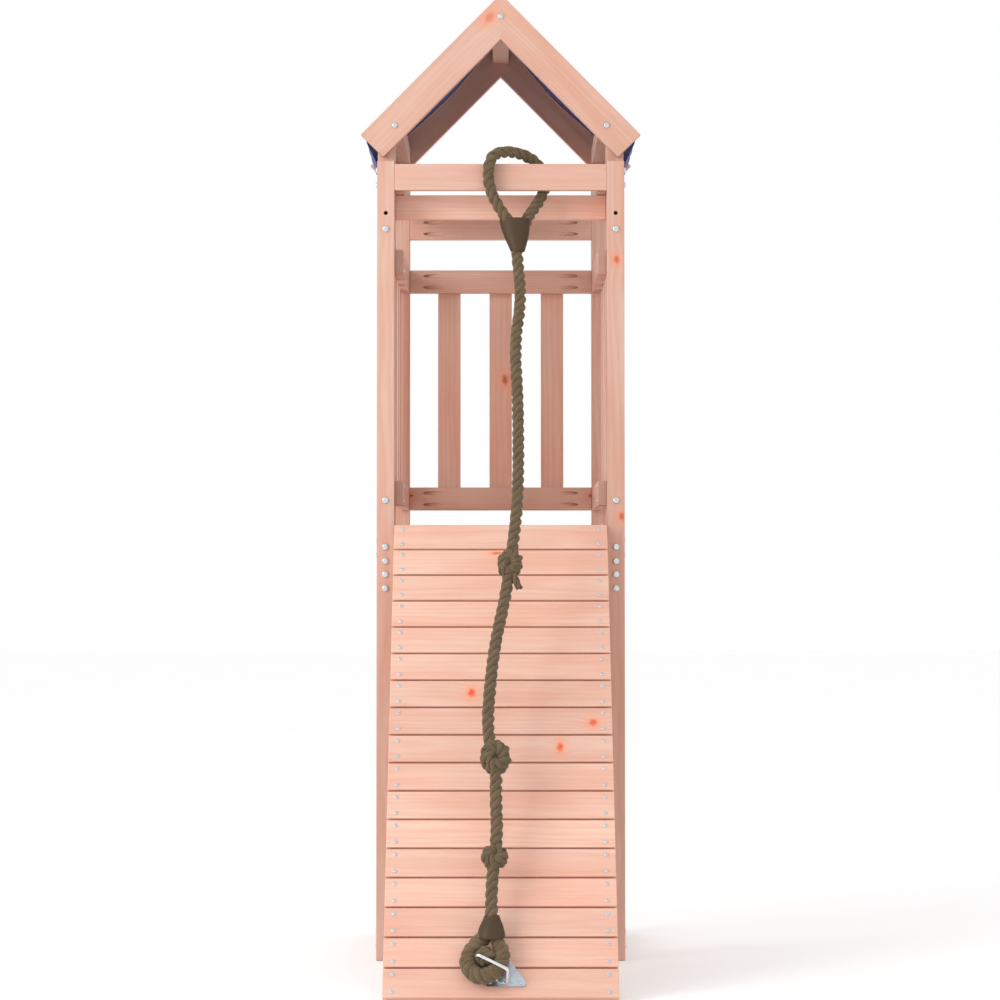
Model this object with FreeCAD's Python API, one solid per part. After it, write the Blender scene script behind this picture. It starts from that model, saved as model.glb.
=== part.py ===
"""Wooden climbing wall with a knotted rope, leaning on a small roofed play tower.

Each physical piece is a solid of its own and is written to parts/NAME.step.
Units are millimetres.  +X is to the right of someone who faces the climbing wall,
+Y points away from them, +Z is up, and z = 0 is the ground.  The pieces are placed
with y = 0 at the front face of the uprights, and moved at the end so that the
origin is under the middle of the whole structure.
"""
import FreeCAD, Part
import math
import os

Vector = FreeCAD.Vector

# ---------------------------------------------------------------- stock timber
POST_NARROW = 37.0        # narrow side of the post timber
POST_WIDE = 56.0          # wide side of the post timber
BOARD = 18.5              # thickness of every board
RAIL = 52.0               # height of the guard rails and of the front and back head rails
BEAM = 57.0               # height of the deck rails, ground rails and side head rails
SLAT = 51.0               # width of a guard slat
EASE = 1.5                # radius of the eased edges of the timber
FIT = 1.0                 # clearance of a board that drops in between two posts
FACE_GAP = 0.5            # clearance of an end that is cut to meet a face

# ---------------------------------------------------------------- tower
TOWER_WIDTH = 525.0       # over the outer faces of the posts
TOWER_DEPTH = 428.0       # over the front posts and the back posts
DECK_TOP = 917.0          # standing height of the deck
GUARD_HEIGHT = 589.0      # deck to the top of the guard rails
GUARD_GAP = 43.0          # deck to the bottom of the lower guard rail
OVER_GUARD = 245.0        # top of the guard rails to the top of the posts
HEAD_DROP = 65.0          # top of the posts to the top of the side head rails
SLAT_SPACING = 117.0      # between the middles of two slats
SLAT_INSET = 12.0         # slat end to the outer edge of its rail
DECK_BOARD_COUNT = 7
DECK_BOARD_GAP = 5.0
DECK_NOSE = 6.0           # front edge of the deck, ahead of the uprights
DECK_SCREW_SPREAD = 12.0  # middle of a deck board to a screw, across the board
GROUND_GAP = 10.0         # ground to the bottom of the ground rails

# ---------------------------------------------------------------- roof
ROOF_PITCH = 45.35        # degrees
ROOF_OVERHANG = 36.0      # outer face of a post to the outer corner of a gable board
GABLE_WIDTH = 68.2        # width of a gable board, square to its length
PURLIN_COVER = 54.3       # gable board's outer edge to the middle of the purlin, upright
CANOPY_THICK = 2.0
CANOPY_CLEAR = 0.5        # fabric to the timber that it lies on
CANOPY_OVERHANG = 44.0    # purlin's outer corner to the fold of the fabric, sideways
CANOPY_HEM_DROP = 79.0    # post top to the lower edge of the fabric
CANOPY_HEM_FLAT = 18.0    # part of the fabric that lies flat on the posts
CANOPY_END_GAP = 1.0      # fabric to each gable board

# ---------------------------------------------------------------- climbing wall
UPRIGHT_DEPTH = 37.0
UPRIGHT_TOP_GAP = 11.0    # top of an upright to the tip of the gable board above it
BAR_DROP = 6.5            # top of an upright to the top of the rope bar
RAMP_ANGLE = 32.64        # degrees from upright
RAMP_BOARD_COUNT = 17
RAMP_BOARD_GAP = 4.0
STRINGER_SCREW_X = 18.5   # board end to the screws that hold it
RAMP_SCREW_INSET = 11.8   # edge of a ramp board to a screw

# ---------------------------------------------------------------- fasteners
BOLT_RADIUS = 4.0
BOLT_HEAD_RADIUS = 7.0
BOLT_HEAD_HEIGHT = 4.0
LAG_RADIUS = 3.0
LAG_HEAD_RADIUS = 6.0
LAG_HEAD_HEIGHT = 3.5
SCREW_RADIUS = 2.0
SCREW_HEAD_RADIUS = 4.2
SCREW_HEAD_HEIGHT = 1.6
RECESS_SPAN = 4.4         # cross recess in a screw's head
RECESS_WIDTH = 1.0
RECESS_DEPTH = 1.2
HOLE_CLEARANCE = 0.05     # radial, in every hole that a fastener fills
NUT_RADIUS = 7.5          # to its corners
NUT_HEIGHT = 6.5
WASHER_RADIUS = 8.5
WASHER_THICK = 1.6
THREAD_PAST_NUT = 1.0
ACCESSORY_HOLE_RADIUS = 4.5
PAIR_SPREAD = 16.0        # middle of a beam to each bolt of a pair
SCREW_PAIR = 13.0         # middle of a rail to each screw of a pair
DECK_RAIL_PAIR = 10.0     # the same on the front deck rail
DECK_RAIL_DROP = 8.5      # middle of the front deck rail down to the middle of its pair
POCKET_ANGLE = 12.0       # degrees between a pocket screw and its rail
POCKET_INSET = 30.0       # end of the rail to the head of a pocket screw
POCKET_DEPTH = 5.0        # face of the rail to the seat of the screw
POCKET_RADIUS = 4.7
UPRIGHT_BOLTS_FROM_DECK = (-133.5, -104.0, -76.0, -46.0, 52.5)
TOP_BOLT_BELOW = 145.0    # top of an upright to its highest bolt
ACCESSORY_HOLE_BELOW = 111.0
BAR_LAG = 80.0            # lengths of the lags and screws
SIDE_LAG = 67.0
GABLE_LAG = 68.5
POCKET_SCREW = 60.0
DECK_RAIL_SCREW = 45.0
SIDE_SCREW = 30.0
SLAT_SCREW = 33.0
DECK_SCREW = 40.0
STRINGER_SCREW = 60.0
RAMP_SCREW = 32.0
CANOPY_PIN = 30.0
PLATE_SCREW = 20.0

# ---------------------------------------------------------------- rope and anchor
ROPE_DIAMETER = 25.0
ARC_SHARE = 0.45          # share of the shorter run that each end of an arc takes
PLATE_THICK = 4.0
PLATE_BASE = 90.0
PLATE_HEIGHT = 66.0
PLATE_CORNER = 7.0
PLATE_MIDDLE = 9.0        # sideways from the middle of the wall
PLATE_FOOT = 21.0         # up the slope from the lower edge of the lowest board
PLATE_HOLE_INSET = 12.0
RING_BAR = 7.0            # diameter of the steel bar of the anchor ring
RING_CORNER = 6.0
RING_SWING = (1.0, 13.0, 37.5)     # from the ring's lower side to its upper side
RING_LOW_RIGHT = (12.0, 24.0, 7.5)
RING_LOW_LEFT = (-46.0, 55.0, 7.5)
LUG_LENGTH = 10.0
LUG_WIDTH = 13.0
LUG_HEIGHT = 8.5
LUG_FROM_CORNER = 13.0

# Points of the rope's route, from the tail in the upper sleeve, round the rope bar,
# down to the anchor ring and back into the lower sleeve.  y = 0 is the front face of
# the uprights.
ROPE_ROUTE = [
    (47, 0, 1534), (60, 6, 1572), (80, 22, 1603), (92, 34, 1627), (95, 37, 1655),
    (84, 36, 1688), (56, 26, 1713), (16, 6, 1722), (-17, -13, 1711), (-27, -18, 1675),
    (-26, -17, 1632), (-12, -16, 1590), (12, -16, 1553), (27, -18, 1519),
    (36, -23, 1473), (43, -52, 1390), (29, -87, 1293), (36, -130, 1175),
    (37, -174, 1059), (33, -222, 935), (19, -263, 833), (9, -292, 762),
    (-11, -330, 673), (-22, -367, 585), (-27, -405, 498), (-9, -431, 440),
    (-10, -460, 374), (-6, -490, 309), (-15, -520, 244), (-18, -545, 190),
    (-17, -567, 144), (-13, -580, 125), (4, -586, 101), (5, -595, 76),
    (-6, -606, 57), (-30, -610, 46), (-55, -602, 50), (-69, -586, 69),
    (-64, -573, 94), (-48, -573, 110), (-37, -567, 121),
]
UPPER_SLEEVE = [          # centre, half width, half depth of each section
    ((33, -10, 1563), 27.0, 20.0),
    ((33, -15, 1530), 25.0, 19.0),
    ((36, -20, 1494), 14.5, 14.5),
]
LOWER_SLEEVE = [
    ((-17, -561, 157), 14.5, 14.5),
    ((-20, -568, 140), 23.0, 18.0),
    ((-22, -572, 124), 25.0, 20.0),
]
KNOTS = [                 # centre, next point along the rope, half width, half length
    ((19, -263, 833), (9, -292, 762), 28.0, 35.0),
    ((-10, -427, 452), (-9, -431, 440), 33.0, 39.0),
    ((-12, -510, 266), (-15, -520, 244), 29.0, 27.0),
]

# ---------------------------------------------------------------- worked out sizes
x_out = TOWER_WIDTH / 2
x_post = x_out - POST_NARROW                # inner face of the front posts and uprights
x_rail = x_post - BOARD                     # inner face of the side rails
x_back = x_out - POST_WIDE                  # inner face of the back posts
x_lag = (max(x_rail, x_back) + x_post) / 2  # where a side rail's end bears on its back post
y_front = UPRIGHT_DEPTH                     # front face of the front posts
y_post = y_front + POST_WIDE                # back face of the front posts
y_back = y_front + TOWER_DEPTH              # back face of the back posts
y_back_front = y_back - POST_NARROW         # front face of the back posts
guard_top = DECK_TOP + GUARD_HEIGHT
guard_bottom = DECK_TOP + GUARD_GAP
post_top = guard_top + OVER_GUARD
deck_under = DECK_TOP - BOARD
z_deck_pair = deck_under - BEAM / 2 - DECK_RAIL_DROP
side_head_top = post_top - HEAD_DROP
head_top = side_head_top - BEAM - FIT       # front and back head rails
pitch = math.radians(ROOF_PITCH)
roof_half_width = x_out + ROOF_OVERHANG
purlin_z = post_top + POST_NARROW / 2
gable_rise = GABLE_WIDTH / math.cos(pitch)
ridge_top = purlin_z + PURLIN_COVER + x_post * math.tan(pitch)
gable_corner_z = ridge_top - roof_half_width * math.tan(pitch)
gable_tip_x = roof_half_width - GABLE_WIDTH * math.sin(pitch)
gable_tip_z = gable_corner_z - GABLE_WIDTH * math.cos(pitch)
ridge_z = ridge_top - gable_rise / 2
upright_top = gable_tip_z - UPRIGHT_TOP_GAP
bar_top = upright_top - BAR_DROP
x_bolt = x_post + POST_NARROW / 2
y_post_middle = y_front + POST_WIDE / 2

slope = math.radians(RAMP_ANGLE)
ramp_length = (DECK_TOP - BOARD * math.sin(slope)) / math.cos(slope)
ramp_pitch = (ramp_length + RAMP_BOARD_GAP) / RAMP_BOARD_COUNT
ramp_board_width = ramp_pitch - RAMP_BOARD_GAP
ramp_half = x_post - FIT
y_deck_front = -DECK_NOSE
y_ramp_top = y_deck_front - FIT - BOARD * math.cos(slope)
y_ramp_foot = y_ramp_top - ramp_length * math.sin(slope)
ramp_foot = Vector(0, y_ramp_foot, BOARD * math.sin(slope))
x_stringer = ramp_half - POST_NARROW

pieces = {}               # name: solid
holes = {}                # name: list of cutters
groups = {"frame_bolts": [], "bolt_nuts": [], "wood_screws": []}


# ---------------------------------------------------------------- helpers
def timber(x_range, y_range, z_range):
    """A piece of planed timber that fills the three ranges, with eased edges."""
    size = [high - low for low, high in (x_range, y_range, z_range)]
    corner = Vector(x_range[0], y_range[0], z_range[0])
    block = Part.makeBox(size[0], size[1], size[2], corner)
    return block.makeFillet(EASE, block.Edges)


def mirrored(low, high, side):
    """The range low..high on the right side (+1) or the left side (-1)."""
    return (low, high) if side > 0 else (-high, -low)


def pair_about(middle, spread):
    """The two heights of a pair of fasteners."""
    return (middle - spread, middle + spread)


def prism(outline, start_y, depth):
    """Extrude an outline of (x, z) points along +Y."""
    points = [Vector(x, start_y, z) for x, z in outline]
    face = Part.Face(Part.makePolygon(points + points[:1]))
    return face.extrude(Vector(0, depth, 0))


def turned(shape, point, direction):
    """A copy of a shape made along +Z at the origin, put at a point along a direction."""
    rotation = FreeCAD.Rotation(Vector(0, 0, 1), Vector(*direction))
    moved = shape.copy()
    moved.Placement = FreeCAD.Placement(Vector(*point), rotation)
    return moved


def on_ramp(shape):
    """Put a shape drawn flat on the slope.

    In the flat drawing x is sideways, y is up the slope from the lowest edge and z
    is out of the walking surface.
    """
    placed = shape.copy()
    rotation = FreeCAD.Rotation(Vector(1, 0, 0), 90.0 - RAMP_ANGLE)
    placed.Placement = FreeCAD.Placement(ramp_foot, rotation).multiply(placed.Placement)
    return placed


def drill(names, point, direction, radius, length):
    """Note a round hole through the named pieces."""
    cutter = turned(Part.makeCylinder(radius, length), point, direction)
    for name in names:
        holes.setdefault(name, []).append(cutter)


def fastener(head_radius, head_height, shank_radius, length):
    """A dome-headed fastener: seat at z = 0, shank along +Z, head below."""
    head = Part.makeCylinder(head_radius, head_height, Vector(0, 0, -head_height))
    crown = [edge for edge in head.Edges if abs(edge.CenterOfMass.z + head_height) < 1e-6]
    head = head.makeFillet(head_height * 0.7, crown)
    return head.fuse(Part.makeCylinder(shank_radius, length)).removeSplitter()


def add_screw(names, point, direction, length):
    """A wood screw with a cross recess, whose head sits on the surface at point."""
    screw = fastener(SCREW_HEAD_RADIUS, SCREW_HEAD_HEIGHT, SCREW_RADIUS, length)
    for size in ((RECESS_SPAN, RECESS_WIDTH), (RECESS_WIDTH, RECESS_SPAN)):
        corner = Vector(-size[0] / 2, -size[1] / 2, -SCREW_HEAD_HEIGHT)
        screw = screw.cut(Part.makeBox(size[0], size[1], RECESS_DEPTH, corner))
    groups["wood_screws"].append(turned(screw, point, direction))
    drill(names, point, direction, SCREW_RADIUS + HOLE_CLEARANCE, length + FACE_GAP)


def add_lag(names, point, direction, length):
    """A coach bolt that screws into timber."""
    lag = fastener(LAG_HEAD_RADIUS, LAG_HEAD_HEIGHT, LAG_RADIUS, length)
    groups["frame_bolts"].append(turned(lag, point, direction))
    drill(names, point, direction, LAG_RADIUS + HOLE_CLEARANCE, length + FACE_GAP)


def add_bolt(names, point, direction, grip):
    """A through bolt with a washer and a nut behind a grip of timber."""
    length = grip + WASHER_THICK + NUT_HEIGHT + THREAD_PAST_NUT
    bolt = fastener(BOLT_HEAD_RADIUS, BOLT_HEAD_HEIGHT, BOLT_RADIUS, length)
    groups["frame_bolts"].append(turned(bolt, point, direction))
    drill(names, point, direction, BOLT_RADIUS + HOLE_CLEARANCE, grip)
    bore = Part.makeCylinder(BOLT_RADIUS + HOLE_CLEARANCE, length)
    washer = Part.makeCylinder(WASHER_RADIUS, WASHER_THICK, Vector(0, 0, grip)).cut(bore)
    corners = [
        Vector(NUT_RADIUS * math.cos(turn), NUT_RADIUS * math.sin(turn), grip + WASHER_THICK)
        for turn in (math.radians(60 * step) for step in range(7))
    ]
    nut = Part.Face(Part.makePolygon(corners)).extrude(Vector(0, 0, NUT_HEIGHT)).cut(bore)
    for part in (washer, nut):
        groups["bolt_nuts"].append(turned(part, point, direction))


def add_pocket_screws(name, into, x_end, y_face, heights, inward, length):
    """Two slanted screws, sunk in pockets, at each end of a rail across the tower.

    into names the pieces at the left end and at the right end that they bite in, and
    inward is the sign of y from the rail's drilled face into the rail.
    """
    angle = math.radians(POCKET_ANGLE)
    for side, target in zip((-1, 1), into):
        direction = Vector(side * math.cos(angle), inward * math.sin(angle), 0)
        for height in heights:
            seat = Vector(side * (x_end - POCKET_INSET), y_face + inward * POCKET_DEPTH,
                          height)
            add_screw([name, target], seat, direction, length)
            drill([name], seat, -direction, POCKET_RADIUS, length)


# ---------------------------------------------------------------- posts and uprights
def make_posts():
    """Four tower posts and the two uprights that carry the rope bar."""
    for side, word in ((-1, "left"), (1, "right")):
        outer = mirrored(x_post, x_out, side)
        pieces["front_" + word + "_post"] = timber(outer, (y_front, y_post), (0, post_top))
        wide = mirrored(x_back, x_out, side)
        pieces["back_" + word + "_post"] = timber(wide, (y_back_front, y_back), (0, post_top))
        pieces[word + "_upright"] = timber(outer, (0, UPRIGHT_DEPTH), (0, upright_top))
        heights = [DECK_TOP + offset for offset in UPRIGHT_BOLTS_FROM_DECK]
        heights.append(upright_top - TOP_BOLT_BELOW)
        clamped = [word + "_upright", "front_" + word + "_post"]
        for height in heights:
            add_bolt(clamped, (side * x_bolt, 0, height), (0, 1, 0), y_post)
        hole_at = (side * x_bolt, 0, upright_top - ACCESSORY_HOLE_BELOW)
        drill(clamped, hole_at, (0, 1, 0), ACCESSORY_HOLE_RADIUS, y_post)


def make_rope_bar():
    """The board between the uprights that the rope hangs from."""
    pieces["rope_bar"] = timber((-x_post, x_post), (0, BOARD), (bar_top - POST_WIDE, bar_top))
    for side, word in ((-1, "left"), (1, "right")):
        for shift in (-PAIR_SPREAD, PAIR_SPREAD):
            point = (side * x_out, BOARD / 2, bar_top - POST_WIDE / 2 + shift)
            add_lag([word + "_upright", "rope_bar"], point, (-side, 0, 0), BAR_LAG)


# ---------------------------------------------------------------- rails
def side_rail(node, side, z_bottom, height, bolted):
    """One rail along a side: against the front post, and butted on the back post."""
    word = "left" if side < 0 else "right"
    x_range = mirrored(x_rail, x_post, side)
    rail = timber(x_range, (y_front, y_back_front), (z_bottom, z_bottom + height))
    z_middle = z_bottom + height / 2
    front_post = "front_" + word + "_post"
    back_post = "back_" + word + "_post"
    behind = (side * x_lag, y_back, z_middle)
    add_lag([back_post, node], behind, (0, -1, 0), SIDE_LAG)
    for shift in (-PAIR_SPREAD, PAIR_SPREAD):
        if bolted:
            outside = (side * x_out, y_post_middle, z_middle + shift)
            add_bolt([front_post, node], outside, (-side, 0, 0), POST_NARROW + BOARD)
        else:
            inside = (side * x_rail, y_post_middle, z_middle + shift)
            add_screw([node, front_post], inside, (side, 0, 0), SIDE_SCREW)
    return rail


def cross_rail(node, x_end, y_range, z_bottom, height, posts):
    """One rail across the tower, held at both ends by pocket screws."""
    rail = timber((-x_end, x_end), y_range, (z_bottom, z_bottom + height))
    heights = pair_about(z_bottom + height / 2, SCREW_PAIR)
    add_pocket_screws(node, posts, x_end, y_range[0], heights, 1, POCKET_SCREW)
    return rail


def make_rails():
    """Head rails, deck rails and ground rails."""
    for side, word in ((-1, "left"), (1, "right")):
        for kind, bottom in (("head", side_head_top - BEAM), ("deck", deck_under - BEAM),
                             ("ground", GROUND_GAP)):
            node = word + "_" + kind + "_rail"
            pieces[node] = side_rail(node, side, bottom, BEAM, kind != "head")
    back_posts = ("back_left_post", "back_right_post")
    front_posts = ("front_left_post", "front_right_post")
    back_range = (y_back_front, y_back_front + BOARD)
    for node, bottom, height in (("back_head_rail", head_top - RAIL, RAIL),
                                 ("back_deck_rail", deck_under - BEAM, BEAM),
                                 ("back_ground_rail", GROUND_GAP, BEAM)):
        pieces[node] = cross_rail(node, x_back, back_range, bottom, height, back_posts)
    pieces["front_head_rail"] = timber(
        (-x_post, x_post), (y_post - BOARD, y_post), (head_top - RAIL, head_top))
    add_pocket_screws("front_head_rail", front_posts, x_post, y_post,
                      pair_about(head_top - RAIL / 2, SCREW_PAIR), -1, POCKET_SCREW)
    pieces["front_deck_rail"] = timber(
        (-x_rail, x_rail), (y_front, y_front + BOARD), (deck_under - BEAM, deck_under))
    add_pocket_screws("front_deck_rail", ("left_deck_rail", "right_deck_rail"), x_rail,
                      y_front + BOARD, pair_about(z_deck_pair, DECK_RAIL_PAIR), -1,
                      DECK_RAIL_SCREW)


# ---------------------------------------------------------------- guards
def slat_solids(across, middle, faces, node, rail_node, head_side):
    """Three upright slats on a pair of guard rails.

    across is "x" or "y", the direction in which the slats are spaced; faces is the
    range that they fill in the other direction; head_side is the outward sign of the
    face that their screws go in from.
    """
    slats = []
    z_range = (guard_bottom + SLAT_INSET, guard_top - SLAT_INSET)
    rail_middles = (guard_bottom + RAIL / 2, guard_top - RAIL / 2)
    face = faces[1] if head_side > 0 else faces[0]
    for step in (-1, 0, 1):
        centre = middle + step * SLAT_SPACING
        width = (centre - SLAT / 2, centre + SLAT / 2)
        if across == "x":
            slats.append(timber(width, faces, z_range))
        else:
            slats.append(timber(faces, width, z_range))
        for z_middle in rail_middles:
            for shift in (-SCREW_PAIR, SCREW_PAIR):
                spot = centre + shift
                point = (spot, face, z_middle) if across == "x" else (face, spot, z_middle)
                way = (0, -head_side, 0) if across == "x" else (-head_side, 0, 0)
                add_screw([node, rail_node], point, way, SLAT_SCREW)
    return slats


def make_guards():
    """Guard rails and slats on the left, the right and the back."""
    for side, word in ((-1, "left"), (1, "right")):
        rails = word + "_guard_rails"
        slats = word + "_guard_slats"
        pieces[rails] = Part.Compound([
            side_rail(rails, side, guard_top - RAIL, RAIL, False),
            side_rail(rails, side, guard_bottom, RAIL, False),
        ])
        faces = mirrored(x_post, x_post + BOARD, side)
        middle = (y_post + y_back_front) / 2
        pieces[slats] = Part.Compound(slat_solids("y", middle, faces, slats, rails, side))
    posts = ("back_left_post", "back_right_post")
    rail_range = (y_back_front, y_back_front + BOARD)
    pieces["back_guard_rails"] = Part.Compound([
        cross_rail("back_guard_rails", x_back, rail_range, guard_top - RAIL, RAIL, posts),
        cross_rail("back_guard_rails", x_back, rail_range, guard_bottom, RAIL, posts),
    ])
    slat_range = (rail_range[1], rail_range[1] + BOARD)
    pieces["back_guard_slats"] = Part.Compound(
        slat_solids("x", 0.0, slat_range, "back_guard_slats", "back_guard_rails", 1))


# ---------------------------------------------------------------- deck
def make_deck():
    """Deck boards that lie across the side deck rails and the tops of the stringers."""
    length = y_back_front - FIT - y_deck_front
    board_pitch = (length + DECK_BOARD_GAP) / DECK_BOARD_COUNT
    boards = []
    for index in range(DECK_BOARD_COUNT):
        start = y_deck_front + index * board_pitch
        end = start + board_pitch - DECK_BOARD_GAP
        boards.append(timber((-ramp_half, ramp_half), (start, end), (deck_under, DECK_TOP)))
        for side, word in ((-1, "left"), (1, "right")):
            bearers = ["deck_boards", word + "_deck_rail", word + "_stringer"]
            for shift in (-DECK_SCREW_SPREAD, DECK_SCREW_SPREAD):
                spot = (start + end) / 2 + shift
                point = (side * (x_rail + BOARD / 2), spot, DECK_TOP)
                add_screw(bearers, point, (0, 0, -1), DECK_SCREW)
    pieces["deck_boards"] = Part.Compound(boards)


# ---------------------------------------------------------------- ramp
def stringer_outline():
    """Outline of a stringer in (y, z): foot level, top level, back cut plumb."""
    back_offset = POST_WIDE / math.cos(slope)
    foot = y_ramp_foot + BOARD / math.cos(slope) - BOARD * math.sin(slope) * math.tan(slope)
    y_plumb = y_front - FACE_GAP
    z_plumb = (y_plumb - foot - back_offset) / math.tan(slope)
    return [
        (foot, 0), (foot + back_offset, 0), (y_plumb, z_plumb),
        (y_plumb, deck_under), (foot + deck_under * math.tan(slope), deck_under),
    ]


def make_ramp():
    """Two stringers and the boards that one climbs on."""
    outline = stringer_outline()
    for side, word in ((-1, "left"), (1, "right")):
        low, high = mirrored(x_stringer, ramp_half, side)
        points = [Vector(low, y, z) for y, z in outline]
        face = Part.Face(Part.makePolygon(points + points[:1]))
        stringer = face.extrude(Vector(high - low, 0, 0))
        long_edges = [edge for edge in stringer.Edges if edge.Length > POST_WIDE * 4]
        node = word + "_stringer"
        pieces[node] = stringer.makeFillet(EASE, long_edges)
        point = (side * (x_stringer + x_rail) / 2, y_front + BOARD, z_deck_pair)
        add_screw(["front_deck_rail", node], point, (0, -1, 0), STRINGER_SCREW)
    for index in range(RAMP_BOARD_COUNT):
        node = "ramp_board_%02d" % (index + 1)
        start = (RAMP_BOARD_COUNT - 1 - index) * ramp_pitch
        flat = timber((-ramp_half, ramp_half), (start, start + ramp_board_width), (-BOARD, 0))
        pieces[node] = on_ramp(flat)
        for side, word in ((-1, "left"), (1, "right")):
            for inset in (RAMP_SCREW_INSET, ramp_board_width - RAMP_SCREW_INSET):
                x = side * (ramp_half - STRINGER_SCREW_X)
                add_ramp_screw([node, word + "_stringer"], x, start + inset, 0.0, RAMP_SCREW)


def add_ramp_screw(names, x, up_slope, height, length):
    """A wood screw square to the slope, with its seat at a height above the boards."""
    turn = FreeCAD.Rotation(Vector(1, 0, 0), 90.0 - RAMP_ANGLE)
    point = ramp_foot + turn.multVec(Vector(x, up_slope, height))
    direction = turn.multVec(Vector(0, 0, -1))
    add_screw(names, (point.x, point.y, point.z), tuple(direction), length)


# ---------------------------------------------------------------- roof
def make_roof_frame():
    """Purlins on the posts, and a pair of gable boards at each end of them."""
    half = POST_NARROW / 2
    span = (y_front, y_back)
    pieces["ridge_purlin"] = timber((-half, half), span, (ridge_z - half, ridge_z + half))
    for side, word in ((-1, "left"), (1, "right")):
        x_range = mirrored(x_post - half, x_post + half, side)
        z_range = (purlin_z - half, purlin_z + half)
        pieces[word + "_eaves_purlin"] = timber(x_range, span, z_range)
    outline = [(0, ridge_top), (roof_half_width, gable_corner_z),
               (gable_tip_x, gable_tip_z), (0, ridge_top - gable_rise)]
    for end, y_start, y_face, way in (("front", y_front - BOARD, y_front - BOARD, 1),
                                      ("back", y_back, y_back + BOARD, -1)):
        for side, word in ((-1, "left"), (1, "right")):
            board = prism([(side * x, z) for x, z in outline], y_start, BOARD)
            seam = [edge for edge in board.Edges if abs(edge.CenterOfMass.x) > 1e-6]
            node = end + "_" + word + "_gable_board"
            pieces[node] = board.makeFillet(EASE, seam)
            add_lag([node, word + "_eaves_purlin"], (side * x_post, y_face, purlin_z),
                    (0, way, 0), GABLE_LAG)
        both = [end + "_left_gable_board", end + "_right_gable_board", "ridge_purlin"]
        add_lag(both, (0, y_face, ridge_z), (0, way, 0), GABLE_LAG)


def canopy_line():
    """Middle line of the fabric on the right side, from the hem up to the ridge."""
    half = POST_NARROW / 2
    lift = CANOPY_CLEAR + CANOPY_THICK / 2
    purlin_corner = Vector(x_post + half, 0, purlin_z + half)
    ridge_corner = Vector(half, 0, ridge_z + half)
    along = (purlin_corner - ridge_corner).normalize()
    outward = Vector(-along.z, 0, along.x)
    reach = CANOPY_OVERHANG / along.x
    fold = purlin_corner + along * reach + outward * lift
    peak_drop = (ridge_corner + outward * lift)
    peak = Vector(0, 0, peak_drop.z - peak_drop.x * along.z / along.x)
    hem = Vector(x_out + lift, 0, post_top - CANOPY_HEM_DROP)
    return [hem, hem + Vector(0, 0, CANOPY_HEM_FLAT), fold, peak]


def make_canopy():
    """One sheet of fabric over the purlins, from one row of posts to the other."""
    right = canopy_line()
    left = [Vector(-point.x, 0, point.z) for point in reversed(right)]
    line = right + left[1:]
    start_y = y_front + CANOPY_END_GAP
    depth = TOWER_DEPTH - 2 * CANOPY_END_GAP
    radius = CANOPY_THICK / 2
    sheet = None
    for start, end in zip(line, line[1:]):
        along = (end - start).normalize()
        across = Vector(-along.z, 0, along.x) * radius
        outline = [start + across, end + across, end - across, start - across]
        strip = prism([(point.x, point.z) for point in outline], start_y, depth)
        sheet = strip if sheet is None else sheet.fuse(strip)
    for corner in line[1:-1]:
        bend = Part.makeCylinder(radius, depth, Vector(corner.x, start_y, corner.z),
                                 Vector(0, 1, 0))
        sheet = sheet.fuse(bend)
    pieces["roof_canopy"] = sheet.removeSplitter()
    pins = (("front", y_post_middle), ("back", y_back - POST_NARROW / 2))
    for side, word in ((-1, "left"), (1, "right")):
        for end, y_pin in pins:
            x = side * (x_out + CANOPY_CLEAR + CANOPY_THICK)
            post = end + "_" + word + "_post"
            point = (x, y_pin, post_top - CANOPY_HEM_DROP + CANOPY_HEM_FLAT / 2)
            add_screw(["roof_canopy", post], point, (-side, 0, 0), CANOPY_PIN)


# ---------------------------------------------------------------- rope and anchor
def rounded_route(points, closed, radius_of):
    """Straight runs joined by tangent arcs; returns the wire and the arc radii."""
    count = len(points)
    turns = range(count) if closed else range(1, count - 1)
    arcs = {}
    for index in turns:
        before = points[index - 1] - points[index]
        after = points[(index + 1) % count] - points[index]
        half_turn = (math.pi - before.getAngle(after)) / 2
        shorter = min(before.Length, after.Length)
        radius = radius_of(shorter, half_turn)
        reach = radius * math.tan(half_turn)
        start = points[index] + before.normalize() * reach
        end = points[index] + after.normalize() * reach
        towards = ((start + end) * 0.5 - points[index]).normalize()
        middle = points[index] + towards * (radius / math.cos(half_turn) - radius)
        arcs[index] = (start, middle, end, radius)
    edges = []
    last = points[0] if not closed else arcs[count - 1][2]
    for index in turns:
        start, middle, end, radius = arcs[index]
        edges.append(Part.LineSegment(last, start).toShape())
        edges.append(Part.Arc(start, middle, end).toShape())
        last = end
    if not closed:
        edges.append(Part.LineSegment(last, points[-1]).toShape())
    return Part.Wire(edges), [arcs[index][3] for index in turns]


def swept_round(wire, radius):
    """A solid round bar or rope along a wire."""
    first = wire.Edges[0]
    start = first.valueAt(first.FirstParameter)
    direction = first.tangentAt(first.FirstParameter)
    section = Part.Wire(Part.makeCircle(radius, start, direction))
    return wire.makePipeShell([section], True, False)


def ellipse_wire(centre, direction, half_width, half_depth):
    """An elliptical section square to a direction, its width along X."""
    outline = Part.makeCircle(half_width)
    if half_width > half_depth:
        outline = Part.Ellipse(Vector(0, 0, 0), half_width, half_depth).toShape()
    shape = Part.Wire(outline)
    normal = Vector(*direction).normalize()
    x_axis = Vector(1, 0, 0)
    y_axis = normal.cross(x_axis).normalize()
    x_axis = y_axis.cross(normal)
    shape.Placement = FreeCAD.Placement(
        Vector(*centre), FreeCAD.Rotation(x_axis, y_axis, normal, "ZXY"))
    return shape


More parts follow.
